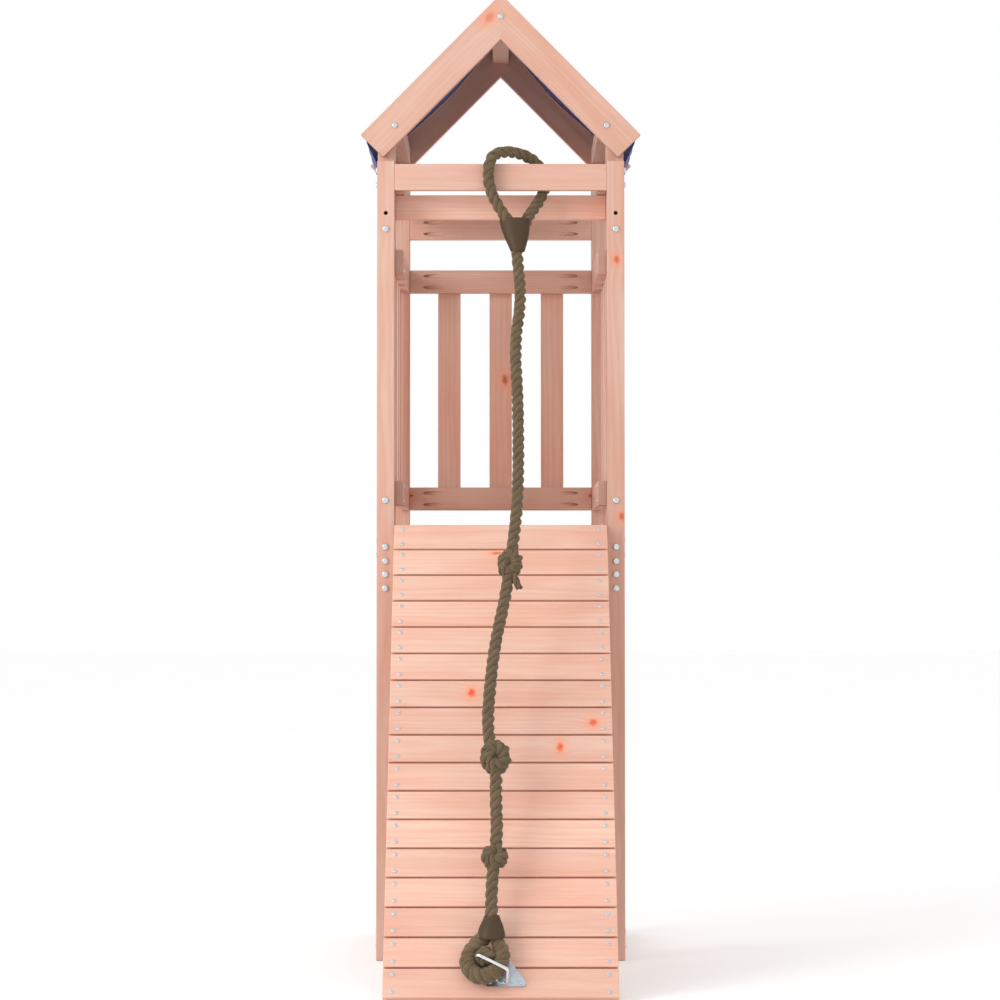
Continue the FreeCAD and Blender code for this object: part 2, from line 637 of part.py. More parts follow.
def sleeve(sections):
    """A shrink sleeve lofted through its sections."""
    first, last = Vector(*sections[0][0]), Vector(*sections[-1][0])
    along = last - first
    wires = [ellipse_wire(centre, along, width, depth) for centre, width, depth in sections]
    return Part.makeLoft(wires, True)


def knot(centre, towards, half_width, half_length):
    """The outer shape of a knot: a round body along the rope."""
    stretch = FreeCAD.Matrix()
    stretch.scale(half_width, half_width, half_length)
    body = Part.makeSphere(1.0).transformGeometry(stretch)
    return turned(body, centre, Vector(*towards) - Vector(*centre))


def make_rope():
    """The rope, its three knots and the two sleeves that close its eyes."""
    points = [Vector(*point) for point in ROPE_ROUTE]
    wire, radii = rounded_route(
        points, False, lambda shorter, half: ARC_SHARE * shorter / math.tan(half))
    rope = swept_round(wire, ROPE_DIAMETER / 2)
    expected = math.pi * ROPE_DIAMETER ** 2 / 4 * wire.Length
    print("rope length %.0f mm, volume / (section x length) %.4f"
          % (wire.Length, rope.Volume / expected))
    print("rope radii mm: " + " ".join("%.0f" % radius for radius in radii))
    pieces["climbing_rope"] = rope
    pieces["rope_knots"] = Part.Compound([knot(*values) for values in KNOTS])
    pieces["rope_sleeves"] = Part.Compound([sleeve(UPPER_SLEEVE), sleeve(LOWER_SLEEVE)])


def make_anchor():
    """The steel plate on the lowest boards and the ring that holds the rope's eye."""
    half = PLATE_BASE / 2
    corners = [Vector(PLATE_MIDDLE - half, PLATE_FOOT, 0),
               Vector(PLATE_MIDDLE + half, PLATE_FOOT, 0),
               Vector(PLATE_MIDDLE, PLATE_FOOT + PLATE_HEIGHT, 0)]
    face = Part.Face(Part.makePolygon(corners + corners[:1]))
    plate = face.extrude(Vector(0, 0, PLATE_THICK))
    upright_edges = [edge for edge in plate.Edges
                     if abs(edge.BoundBox.ZLength - PLATE_THICK) < 1e-6]
    plate = plate.makeFillet(PLATE_CORNER, upright_edges)
    low_right, low_left = Vector(*RING_LOW_RIGHT), Vector(*RING_LOW_LEFT)
    swing = Vector(*RING_SWING)
    lower = (low_left - low_right).normalize()
    lug = Part.makeBox(LUG_WIDTH, LUG_LENGTH, LUG_HEIGHT,
                       Vector(-LUG_WIDTH / 2, -LUG_LENGTH / 2, 0))
    lug = lug.makeFillet(EASE, [edge for edge in lug.Edges
                                if edge.CenterOfMass.z > LUG_HEIGHT - 1e-6])
    turn = FreeCAD.Rotation(Vector(0, 1, 0), lower)
    lug_at = low_right + lower * LUG_FROM_CORNER
    lug.Placement = FreeCAD.Placement(Vector(lug_at.x, lug_at.y, PLATE_THICK), turn)
    plate = plate.fuse(lug)
    ring_points = [low_right + swing, low_right, low_left, low_left + swing]
    ring_wire, _ = rounded_route(ring_points, True, lambda shorter, half_turn: RING_CORNER)
    ring = swept_round(ring_wire, RING_BAR / 2)
    bore_start = low_right + lower * (LUG_FROM_CORNER - LUG_LENGTH)
    bore = Part.makeCylinder(RING_BAR / 2 + HOLE_CLEARANCE, 2 * LUG_LENGTH, bore_start, lower)
    plate = plate.cut(bore)
    inner = PLATE_FOOT + PLATE_HOLE_INSET * 0.75
    spots = [(PLATE_MIDDLE - half + PLATE_HOLE_INSET * 1.3, inner),
             (PLATE_MIDDLE + half - PLATE_HOLE_INSET * 1.3, inner),
             (PLATE_MIDDLE, PLATE_FOOT + PLATE_HEIGHT - PLATE_HOLE_INSET * 1.5)]
    boards = ["ramp_board_%02d" % (RAMP_BOARD_COUNT - step) for step in (0, 1)]
    for x, up_slope in spots:
        add_ramp_screw(["anchor_plate"] + boards, x, up_slope, PLATE_THICK, PLATE_SCREW)
    pieces["anchor_plate"] = on_ramp(plate.removeSplitter())
    pieces["anchor_ring"] = on_ramp(ring)


# ---------------------------------------------------------------- assembly
def write_parts():
    """Drill every piece, move the whole to its frame and write one file per piece."""
    for name, cutters in holes.items():
        shape = pieces[name]
        near = [cutter for cutter in cutters if shape.BoundBox.intersect(cutter.BoundBox)]
        drilled = shape
        if near:
            solids = [solid.cut(near) for solid in shape.Solids]
            drilled = solids[0] if len(solids) == 1 else Part.Compound(solids)
        pieces[name] = drilled
    for name, solids in groups.items():
        pieces[name] = Part.Compound(solids)
    bounds = FreeCAD.BoundBox()
    for name, shape in pieces.items():
        if name not in ("climbing_rope", "rope_knots", "rope_sleeves"):
            bounds.add(shape.BoundBox)
    middle = Vector(-bounds.Center.x, -bounds.Center.y, 0)
    print("overall size mm: %.1f %.1f %.1f" % (bounds.XLength, bounds.YLength, bounds.ZLength))
    print("front face of the uprights is at y = %.3f" % middle.y)
    print("sub-parts: %d" % len(pieces))
    os.makedirs("parts", exist_ok=True)
    for name, shape in pieces.items():
        shape.translate(middle)
        shape.exportStep("parts/" + name + ".step")


make_posts()
make_rope_bar()
make_rails()
make_guards()
make_deck()
make_ramp()
make_roof_frame()
make_canopy()
make_rope()
make_anchor()
write_parts()
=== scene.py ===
"""Climbing wall with a knotted rope on a small roofed play tower: the visual model.

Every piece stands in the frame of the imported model, in metres.  The timber and the steel
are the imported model's own nodes in new finishes.  The rope with its knots and sleeves, and
the roof canopy with its hems, are made here and stand for their nodes.
"""
import logging
import math
import random
from dataclasses import dataclass, field
from enum import Enum
from typing import Iterable, Optional, Sequence

import bmesh
import bpy
from mathutils import Matrix, Vector


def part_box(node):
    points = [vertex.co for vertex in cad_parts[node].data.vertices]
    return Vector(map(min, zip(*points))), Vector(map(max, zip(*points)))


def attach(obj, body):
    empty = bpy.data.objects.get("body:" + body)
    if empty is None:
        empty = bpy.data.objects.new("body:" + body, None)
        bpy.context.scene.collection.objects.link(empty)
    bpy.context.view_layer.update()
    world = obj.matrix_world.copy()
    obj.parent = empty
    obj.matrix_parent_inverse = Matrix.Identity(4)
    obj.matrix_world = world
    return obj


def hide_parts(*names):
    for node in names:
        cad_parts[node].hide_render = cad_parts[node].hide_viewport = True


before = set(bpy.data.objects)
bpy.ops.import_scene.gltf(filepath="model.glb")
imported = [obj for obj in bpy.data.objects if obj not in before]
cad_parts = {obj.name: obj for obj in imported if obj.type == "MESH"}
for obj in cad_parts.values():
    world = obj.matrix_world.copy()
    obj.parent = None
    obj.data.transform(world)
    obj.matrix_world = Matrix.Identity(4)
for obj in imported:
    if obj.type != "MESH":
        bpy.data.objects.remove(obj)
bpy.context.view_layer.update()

BODY = "root"
MM = 0.001
log = logging.getLogger("climbing_wall")


# ------------------------------------------------------------------------------ helpers
def linear(hex_colour: str) -> tuple[float, float, float, float]:
    """Turn an sRGB hex colour to linear RGBA.

    Args:
        hex_colour: six hex digits, without a hash.

    Returns:
        The linear red, green, blue and an alpha of 1.
    """
    parts = [int(hex_colour[i:i + 2], 16) / 255 for i in (0, 2, 4)]
    red, green, blue = (c / 12.92 if c <= 0.04045 else ((c + 0.055) / 1.055) ** 2.4 for c in parts)
    return (red, green, blue, 1.0)


def add_node(tree: bpy.types.NodeTree, kind: str, inputs: Optional[dict] = None,
             **settings) -> bpy.types.Node:
    """Add a node, set its options, and set or link its inputs.

    Args:
        tree: the node tree that gets the node.
        kind: the node's type name.
        inputs: a value or an output socket for each input, by name or number.
        settings: the node's own options.

    Returns:
        The new node.
    """
    node = tree.nodes.new(kind)
    for option, value in settings.items():
        setattr(node, option, value)
    for key, value in (inputs or {}).items():
        if isinstance(value, bpy.types.NodeSocket):
            tree.links.new(value, node.inputs[key])
        else:
            node.inputs[key].default_value = value
    return node


def new_material(name: str) -> tuple[bpy.types.Material, bpy.types.NodeTree, bpy.types.Node]:
    """Make an empty material.

    Args:
        name: the material's name.

    Returns:
        The material, its node tree and its surface shader.
    """
    material = bpy.data.materials.new(name)
    material.use_nodes = True
    tree = material.node_tree
    tree.nodes.clear()
    shader = add_node(tree, "ShaderNodeBsdfPrincipled")
    add_node(tree, "ShaderNodeOutputMaterial", {"Surface": shader.outputs["BSDF"]})
    return material, tree, shader


def dress(piece: bpy.types.Object, material: bpy.types.Material) -> None:
    """Give a piece one material all over."""
    piece.data.materials.clear()
    piece.data.materials.append(material)


def add_piece(name: str, mesh_source: bmesh.types.BMesh, material: bpy.types.Material,
              smooth: bool = True) -> bpy.types.Object:
    """Turn a finished bmesh into a piece that rides on the body.

    Args:
        name: the piece's name.
        mesh_source: the shape, in the row frame; it is freed here.
        material: its finish.
        smooth: whether its faces are shaded smooth.

    Returns:
        The new object.
    """
    mesh = bpy.data.meshes.new(name)
    for face in mesh_source.faces:
        face.smooth = smooth
    mesh_source.to_mesh(mesh)
    mesh_source.free()
    piece = bpy.data.objects.new(name, mesh)
    bpy.context.scene.collection.objects.link(piece)
    dress(piece, material)
    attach(piece, BODY)
    return piece


# ------------------------------------------------------------------------------ finishes
@dataclass(frozen=True)
class Knot:
    """A branch knot in a board: its place from the board's middle, and its half sizes."""

    along: float
    across: float
    half_length: float = 0.010
    half_width: float = 0.006
    colour: str = "C4582E"


@dataclass(frozen=True)
class PlanedDouglasFir:
    """Planed, untreated Douglas fir.

    Pale pinkish spring wood with thin, more orange summer rings that run along the board,
    silky fibre streaks, a dull surface, and darker end grain.
    """

    spring_wood: str = "D8B19F"
    summer_wood: str = "C89881"
    blush: str = "D4A08C"
    ring_spacing: float = 5.5 * MM
    fibre_width: float = 1.8 * MM
    waviness: float = 7.0 * MM
    roughness: float = 0.58

    def build(self, name: str, centre: Vector, turn: Matrix, seed: int, tone: float = 1.0,
              knots: Sequence[Knot] = (), pitch: float = 0.0) -> bpy.types.Material:
        """Make the finish for one board.

        Args:
            name: the material's name.
            centre: the board's middle, in the row frame.
            turn: turns the row frame so that X runs along the board and Z through it.
            seed: picks the board's place in the log.
            tone: how light the board is, 1 being usual; on the ramp boards and the front head rail the
                raised tone is painted light.
            knots: the knots in it.
            pitch: where the node holds a row of boards, the distance from one to the next.

        Returns:
            The material.
        """
        dice = random.Random(seed)
        material, tree, shader = new_material(name)
        place = add_node(tree, "ShaderNodeTexCoord")
        offset = -(turn @ centre)
        board = add_node(tree, "ShaderNodeMapping", {
            "Vector": place.outputs["Object"], "Location": offset,
            "Rotation": turn.to_euler("XYZ")}).outputs["Vector"]
        knot_place = board
        if pitch:
            board = self._row_of_boards(tree, board, pitch)
        shift = (dice.uniform(0, 50), dice.uniform(0, 50), dice.uniform(0, 50))
        drift_at = add_node(tree, "ShaderNodeMapping", {
            "Vector": board, "Location": shift, "Scale": (2.6, 9.0, 9.0)}).outputs["Vector"]
        drift = add_node(tree, "ShaderNodeTexNoise", {
            "Vector": drift_at, "Scale": 1.0, "Detail": 2.0, "Roughness": 0.45}).outputs["Color"]
        drift = add_node(tree, "ShaderNodeVectorMath", {0: drift, 1: (0.5, 0.5, 0.5)},
                         operation="SUBTRACT").outputs[0]
        drift = add_node(tree, "ShaderNodeVectorMath", {
            0: drift, 1: (0.0, 2 * self.waviness, 2 * self.waviness)},
            operation="MULTIPLY").outputs[0]
        pith = (0.0, dice.uniform(-0.05, 0.05), dice.choice((-1, 1)) * dice.uniform(0.035, 0.10))
        log_at = add_node(tree, "ShaderNodeVectorMath", {0: board, 1: pith},
                          operation="ADD").outputs[0]
        log_at = add_node(tree, "ShaderNodeVectorMath", {0: log_at, 1: drift},
                          operation="ADD").outputs[0]
        knot_masks = [self._knot_mask(tree, knot_place, knot) for knot in knots]
        for mask in knot_masks:
            swirl = add_node(tree, "ShaderNodeCombineXYZ", {"Y": mask["swirl"]}).outputs[0]
            log_at = add_node(tree, "ShaderNodeVectorMath", {0: log_at, 1: swirl},
                              operation="ADD").outputs[0]
        rings = add_node(tree, "ShaderNodeTexWave", {
            "Vector": log_at, "Scale": 2 * math.pi / 20 / self.ring_spacing,
            "Distortion": 0.6, "Detail": 1.0, "Detail Scale": 0.4},
            wave_type="RINGS", rings_direction="X", wave_profile="SAW").outputs["Fac"]
        ring_line = add_node(tree, "ShaderNodeValToRGB", {"Fac": rings})
        stops = ring_line.color_ramp.elements
        stops[0].position, stops[0].color = 0.25, (0, 0, 0, 1)
        stops[1].position, stops[1].color = 0.86, (1, 1, 1, 1)
        last = ring_line.color_ramp.elements.new(1.0)
        last.color = (0, 0, 0, 1)
        strong = dice.uniform(0.25, 0.50)
        patch_at = add_node(tree, "ShaderNodeMapping", {
            "Vector": board, "Location": shift, "Scale": (3.5, 22.0, 22.0)}).outputs["Vector"]
        patch = add_node(tree, "ShaderNodeTexNoise", {
            "Vector": patch_at, "Scale": 1.0, "Detail": 3.0}).outputs["Fac"]
        patch = add_node(tree, "ShaderNodeMapRange", {
            "Value": patch, "From Min": 0.35, "From Max": 0.68}).outputs["Result"]
        base = add_node(tree, "ShaderNodeMix", {
            0: patch, 6: self._toned(self.spring_wood, tone), 7: self._toned(self.blush, tone)},
            data_type="RGBA").outputs[2]
        ring_share = add_node(tree, "ShaderNodeMath", {0: ring_line.outputs["Color"], 1: strong},
                              operation="MULTIPLY").outputs[0]
        wood = add_node(tree, "ShaderNodeMix", {
            0: ring_share, 6: base, 7: self._toned(self.summer_wood, tone)},
            data_type="RGBA").outputs[2]
        fibre_at = add_node(tree, "ShaderNodeMapping", {
            "Vector": log_at, "Scale": (14.0, 1 / self.fibre_width, 1 / self.fibre_width)})
        fibre = add_node(tree, "ShaderNodeTexNoise", {
            "Vector": fibre_at.outputs["Vector"], "Scale": 1.0, "Detail": 3.0,
            "Roughness": 0.6}).outputs["Fac"]
        fibre_tone = add_node(tree, "ShaderNodeMapRange", {
            "Value": fibre, "From Min": 0.3, "From Max": 0.7, "To Min": 0.94,
            "To Max": 1.04}).outputs["Result"]
        wood = add_node(tree, "ShaderNodeMix", {0: 1.0, 6: wood, 7: fibre_tone},
                        data_type="RGBA", blend_type="MULTIPLY").outputs[2]
        for knot, mask in zip(knots, knot_masks):
            wood = add_node(tree, "ShaderNodeMix", {0: mask["halo"], 6: wood,
                                                    7: self._toned("E8906A", tone)},
                            data_type="RGBA").outputs[2]
            wood = add_node(tree, "ShaderNodeMix", {0: mask["core"], 6: wood,
                                                    7: linear(knot.colour)},
                            data_type="RGBA").outputs[2]
        facing = add_node(tree, "ShaderNodeVectorMath", {
            0: place.outputs["Normal"], 1: tuple(turn.transposed().col[0])},
            operation="DOT_PRODUCT").outputs["Value"]
        facing = add_node(tree, "ShaderNodeMath", {0: facing}, operation="ABSOLUTE").outputs[0]
        end_grain = add_node(tree, "ShaderNodeMapRange", {
            "Value": facing, "From Min": 0.6, "From Max": 0.95, "To Min": 1.0,
            "To Max": 0.74}).outputs["Result"]
        wood = add_node(tree, "ShaderNodeMix", {0: 1.0, 6: wood, 7: end_grain},
                        data_type="RGBA", blend_type="MULTIPLY").outputs[2]
        tree.links.new(wood, shader.inputs["Base Color"])
        rough = add_node(tree, "ShaderNodeMapRange", {
            "Value": fibre, "From Min": 0.3, "From Max": 0.7, "To Min": self.roughness - 0.07,
            "To Max": self.roughness + 0.10}).outputs["Result"]
        tree.links.new(rough, shader.inputs["Roughness"])
        relief = add_node(tree, "ShaderNodeMath", {0: ring_line.outputs["Color"], 1: fibre},
                          operation="ADD").outputs[0]
        bump = add_node(tree, "ShaderNodeBump", {
            "Height": relief, "Strength": 0.22, "Distance": 0.25 * MM}).outputs["Normal"]
        tree.links.new(bump, shader.inputs["Normal"])
        shader.inputs["IOR"].default_value = 1.5
        shader.inputs["Specular IOR Level"].default_value = 0.35
        return material

    @staticmethod
    def _row_of_boards(tree: bpy.types.NodeTree, board: bpy.types.NodeSocket,
                       pitch: float) -> bpy.types.NodeSocket:
        """Move each board of a row to its own place in the log.

        Args:
            tree: the node tree.
            board: the place in the whole row.
            pitch: the distance from one board to the next, across the grain.

        Returns:
            The place in the log.
        """
        across = add_node(tree, "ShaderNodeSeparateXYZ", {"Vector": board}).outputs["Y"]
        number = add_node(tree, "ShaderNodeMath", {0: across, 1: 1 / pitch, 2: 0.5},
                          operation="MULTIPLY_ADD").outputs[0]
        number = add_node(tree, "ShaderNodeMath", {0: number}, operation="FLOOR").outputs[0]
        apart = add_node(tree, "ShaderNodeVectorMath", {0: number, 1: (3.7, -pitch, 0.013)},
                         operation="MULTIPLY").outputs[0]
        return add_node(tree, "ShaderNodeVectorMath", {0: board, 1: apart},
                        operation="ADD").outputs[0]

    @staticmethod
    def _toned(hex_colour: str, tone: float) -> tuple[float, float, float, float]:
        """A colour made lighter or darker by a factor."""
        red, green, blue, alpha = linear(hex_colour)
        return (min(red * tone, 1), min(green * tone, 1), min(blue * tone, 1), alpha)

    @staticmethod
    def _knot_mask(tree: bpy.types.NodeTree, board: bpy.types.NodeSocket,
                   knot: Knot) -> dict[str, bpy.types.NodeSocket]:
        """Masks of one knot.

        Args:
            tree: the board's node tree.
            board: the place in the board.
            knot: the knot.

        Returns:
            The sockets of its core, of the stained wood about it, and of the grain's swirl.
        """
        near = add_node(tree, "ShaderNodeMapping", {
            "Vector": board, "Scale": (1 / knot.half_length, 1 / knot.half_width, 0.0),
            "Location": (-knot.along / knot.half_length, -knot.across / knot.half_width, 0.0)})
        rough_edge = add_node(tree, "ShaderNodeTexNoise", {
            "Vector": near.outputs["Vector"], "Scale": 1.3, "Detail": 2.0}).outputs["Fac"]
        reach = add_node(tree, "ShaderNodeVectorMath", {0: near.outputs["Vector"]},
                         operation="LENGTH").outputs["Value"]
        reach = add_node(tree, "ShaderNodeMath", {0: reach, 1: rough_edge},
                         operation="ADD").outputs[0]
        core = add_node(tree, "ShaderNodeMapRange", {
            "Value": reach, "From Min": 0.9, "From Max": 1.6, "To Min": 0.92,
            "To Max": 0.0}).outputs["Result"]
        halo = add_node(tree, "ShaderNodeMapRange", {
            "Value": reach, "From Min": 1.0, "From Max": 3.4, "To Min": 0.55,
            "To Max": 0.0}).outputs["Result"]
        swirl = add_node(tree, "ShaderNodeMapRange", {
            "Value": reach, "From Min": 0.5, "From Max": 4.5, "To Min": 0.9 * knot.half_width,
            "To Max": 0.0}).outputs["Result"]
        return {"core": core, "halo": halo, "swirl": swirl}


@dataclass(frozen=True)
class ZincPlatedSteel:
    """Zinc on steel: a cold grey metal with faint spangles and a soft, cloudy gloss."""

    light: str = "DADDE0"
    dark: str = "B4BAC2"
    spangle: float = 5.0 * MM
    roughness: float = 0.32
    relief: float = 0.02 * MM

    def build(self, name: str) -> bpy.types.Material:
        """Make the finish.

        Args:
            name: the material's name.

        Returns:
            The material.
        """
        material, tree, shader = new_material(name)
        place = add_node(tree, "ShaderNodeTexCoord").outputs["Object"]
        crystal = add_node(tree, "ShaderNodeTexVoronoi", {
            "Vector": place, "Scale": 1 / self.spangle}).outputs["Color"]
        crystal = add_node(tree, "ShaderNodeSeparateColor", {"Color": crystal}).outputs[0]
        cloud = add_node(tree, "ShaderNodeTexNoise", {
            "Vector": place, "Scale": 0.3 / self.spangle, "Detail": 3.0}).outputs["Fac"]
        blend = add_node(tree, "ShaderNodeMath", {0: crystal, 1: cloud},
                         operation="MULTIPLY").outputs[0]
        colour = add_node(tree, "ShaderNodeMix", {0: blend, 6: linear(self.light),
                                                  7: linear(self.dark)},
                          data_type="RGBA").outputs[2]
        tree.links.new(colour, shader.inputs["Base Color"])
        rough = add_node(tree, "ShaderNodeMapRange", {
            "Value": cloud, "From Min": 0.3, "From Max": 0.7, "To Min": self.roughness - 0.06,
            "To Max": self.roughness + 0.10}).outputs["Result"]
        tree.links.new(rough, shader.inputs["Roughness"])
        grit = add_node(tree, "ShaderNodeTexNoise", {
            "Vector": place, "Scale": 1 / (0.6 * MM), "Detail": 2.0}).outputs["Fac"]
        bump = add_node(tree, "ShaderNodeBump", {
            "Height": grit, "Strength": 0.4, "Distance": self.relief}).outputs["Normal"]
        tree.links.new(bump, shader.inputs["Normal"])
        shader.inputs["Metallic"].default_value = 1.0
        return material


@dataclass(frozen=True)
class WovenCanopyCloth:
    """Coated polyester cloth: deep navy, a plain weave, dull with a faint sheen.

    The real threads are about 0.4 mm apart, too fine to show, so they are drawn at 1.6 mm.
    """

    colour: str = "1F2C70"
    worn: str = "2B3A80"
    thread: str = "7F88BC"
    thread_spacing: float = 1.6 * MM
    stitch_length: float = 5.0 * MM

    def build(self, name: str, stitched_at: Sequence[float] = ()) -> bpy.types.Material:
        """Make the finish.

        Args:
            name: the material's name.
            stitched_at: values of the UV map's U, in metres, at which a seam's stitches run.

        Returns:
            The material.
        """
        material, tree, shader = new_material(name)
        cloth = add_node(tree, "ShaderNodeUVMap", uv_map="cloth").outputs["UV"]
        axes = add_node(tree, "ShaderNodeSeparateXYZ", {"Vector": cloth})
        ribs = []
        for axis in ("X", "Y"):
            turns = add_node(tree, "ShaderNodeMath", {
                0: axes.outputs[axis], 1: 2 * math.pi / self.thread_spacing},
                operation="MULTIPLY").outputs[0]
            ribs.append(add_node(tree, "ShaderNodeMath", {0: turns},
                                 operation="SINE").outputs[0])
        weave = add_node(tree, "ShaderNodeMath", {0: ribs[0], 1: ribs[1]},
                         operation="MULTIPLY").outputs[0]
        cloud = add_node(tree, "ShaderNodeTexNoise", {
            "Vector": cloth, "Scale": 9.0, "Detail": 4.0}).outputs["Fac"]
        share = add_node(tree, "ShaderNodeMath", {0: weave, 1: 0.22, 2: cloud},
                         operation="MULTIPLY_ADD").outputs[0]
        share = add_node(tree, "ShaderNodeMapRange", {
            "Value": share, "From Min": 0.2, "From Max": 0.85}).outputs["Result"]
        colour = add_node(tree, "ShaderNodeMix", {0: share, 6: linear(self.colour),
                                                  7: linear(self.worn)},
                          data_type="RGBA").outputs[2]
        for seam in stitched_at:
            away = add_node(tree, "ShaderNodeMath", {0: axes.outputs["X"], 1: seam},
                            operation="SUBTRACT").outputs[0]
            away = add_node(tree, "ShaderNodeMath", {0: away},
                            operation="ABSOLUTE").outputs[0]
            on_line = add_node(tree, "ShaderNodeMath", {0: away, 1: 0.6 * MM},
                               operation="LESS_THAN").outputs[0]
            step = add_node(tree, "ShaderNodeMath", {
                0: axes.outputs["Y"], 1: self.stitch_length}, operation="FLOORED_MODULO").outputs[0]
            dash = add_node(tree, "ShaderNodeMath", {0: step, 1: 0.65 * self.stitch_length},
                            operation="LESS_THAN").outputs[0]
            stitch = add_node(tree, "ShaderNodeMath", {0: on_line, 1: dash},
                              operation="MULTIPLY").outputs[0]
            colour = add_node(tree, "ShaderNodeMix", {0: stitch, 6: colour,
                                                      7: linear(self.thread)},
                              data_type="RGBA").outputs[2]
        tree.links.new(colour, shader.inputs["Base Color"])
        bump = add_node(tree, "ShaderNodeBump", {
            "Height": weave, "Strength": 0.35, "Distance": 0.2 * MM}).outputs["Normal"]
        tree.links.new(bump, shader.inputs["Normal"])
        shader.inputs["Roughness"].default_value = 0.72
        shader.inputs["Sheen Weight"].default_value = 0.15
        shader.inputs["Sheen Roughness"].default_value = 0.4
        shader.inputs["Specular IOR Level"].default_value = 0.3
        return material


@dataclass(frozen=True)
class TwistedFibre:
    """Spun synthetic hemp: olive brown yarns, fuzzy and dull, with painted shade, dark and reddish, in
    the grooves between the strands.
    """

    crest: str = "604D37"
    groove_shade: str = "26150F"
    pale_yarn: str = "7E6A4A"
    yarn_width: float = 2.2 * MM

    def build(self, name: str) -> bpy.types.Material:
        """Make the finish.

        Args:
            name: the material's name.

        Returns:
            The material.
        """
        material, tree, shader = new_material(name)
        yarn_map = add_node(tree, "ShaderNodeUVMap", uv_map="yarn").outputs["UV"]
        axes = add_node(tree, "ShaderNodeSeparateXYZ", {"Vector": yarn_map})
        phase = add_node(tree, "ShaderNodeMath", {
            0: axes.outputs["X"], 1: 2 * math.pi / (2.2 * self.yarn_width)},
            operation="MULTIPLY").outputs[0]
        around = add_node(tree, "ShaderNodeMath", {
            0: axes.outputs["Y"], 1: 2 * math.pi / self.yarn_width},
            operation="MULTIPLY").outputs[0]
        phase = add_node(tree, "ShaderNodeMath", {0: phase, 1: around},
                         operation="SUBTRACT").outputs[0]
        yarn = add_node(tree, "ShaderNodeMath", {0: phase}, operation="SINE").outputs[0]
        place = add_node(tree, "ShaderNodeTexCoord").outputs["Object"]
        fuzz = add_node(tree, "ShaderNodeTexNoise", {
            "Vector": place, "Scale": 1 / (0.9 * MM), "Detail": 3.0,
            "Roughness": 0.7}).outputs["Fac"]
        cloud = add_node(tree, "ShaderNodeTexNoise", {
            "Vector": place, "Scale": 55.0, "Detail": 2.0}).outputs["Fac"]
        # Painted shade: the colour runs to the dark groove shade towards the rope's middle, where the
        # strands shade each other.
        depth = add_node(tree, "ShaderNodeAttribute", attribute_name="crest").outputs["Fac"]
        deep = add_node(tree, "ShaderNodeMapRange", {
            "Value": depth, "From Min": 0.0, "From Max": 0.62}).outputs["Result"]
        # Painted shade and painted highlight: the colour is darker between the yarns and paler on
        # their tops, following the bump's height; the cloud adds a random tone.
        shade = add_node(tree, "ShaderNodeMath", {0: yarn, 1: 0.30, 2: cloud},
                         operation="MULTIPLY_ADD").outputs[0]
        shade = add_node(tree, "ShaderNodeMapRange", {
            "Value": shade, "From Min": 0.25, "From Max": 0.75}).outputs["Result"]
        colour = add_node(tree, "ShaderNodeMix", {0: shade, 6: linear(self.crest),
                                                  7: linear(self.pale_yarn)},
                          data_type="RGBA").outputs[2]
        colour = add_node(tree, "ShaderNodeMix", {0: deep, 6: linear(self.groove_shade), 7: colour},
                          data_type="RGBA").outputs[2]
        # Painted shade at a finer scale: the speckle is darker where the fuzz, and so the bump, is
        # low.
        speck = add_node(tree, "ShaderNodeMapRange", {
            "Value": fuzz, "From Min": 0.3, "From Max": 0.7, "To Min": 0.72,
            "To Max": 1.15}).outputs["Result"]
        colour = add_node(tree, "ShaderNodeMix", {0: 1.0, 6: colour, 7: speck},
                          data_type="RGBA", blend_type="MULTIPLY").outputs[2]
        tree.links.new(colour, shader.inputs["Base Color"])
        height = add_node(tree, "ShaderNodeMath", {0: yarn, 1: 0.5, 2: fuzz},
                          operation="MULTIPLY_ADD").outputs[0]
        bump = add_node(tree, "ShaderNodeBump", {
            "Height": height, "Strength": 0.8, "Distance": 1.0 * MM}).outputs["Normal"]
        tree.links.new(bump, shader.inputs["Normal"])
        shader.inputs["Roughness"].default_value = 0.88
        shader.inputs["Sheen Weight"].default_value = 0.2
        shader.inputs["Specular IOR Level"].default_value = 0.2
        return material


@dataclass(frozen=True)
class ShrunkSleeve:
    """Heat-shrunk plastic sleeve: brown, half dull, with a slight orange peel."""

    colour: str = "402E1C"
    dusty: str = "4C3A27"
    roughness: float = 0.5

    def build(self, name: str) -> bpy.types.Material:
        """Make the finish.

        Args:
            name: the material's name.

        Returns:
            The material.
        """
        material, tree, shader = new_material(name)
        place = add_node(tree, "ShaderNodeTexCoord").outputs["Object"]
        cloud = add_node(tree, "ShaderNodeTexNoise", {
            "Vector": place, "Scale": 60.0, "Detail": 4.0}).outputs["Fac"]
        peel = add_node(tree, "ShaderNodeTexNoise", {
            "Vector": place, "Scale": 1 / (1.8 * MM), "Detail": 1.0}).outputs["Fac"]
        colour = add_node(tree, "ShaderNodeMix", {0: cloud, 6: linear(self.colour),
                                                  7: linear(self.dusty)},
                          data_type="RGBA").outputs[2]
        tree.links.new(colour, shader.inputs["Base Color"])
        rough = add_node(tree, "ShaderNodeMapRange", {
            "Value": cloud, "From Min": 0.3, "From Max": 0.7, "To Min": self.roughness - 0.05,
            "To Max": self.roughness + 0.12}).outputs["Result"]
        tree.links.new(rough, shader.inputs["Roughness"])
        bump = add_node(tree, "ShaderNodeBump", {
            "Height": peel, "Strength": 0.3, "Distance": 0.3 * MM}).outputs["Normal"]
        tree.links.new(bump, shader.inputs["Normal"])
        shader.inputs["Specular IOR Level"].default_value = 0.3
        return material


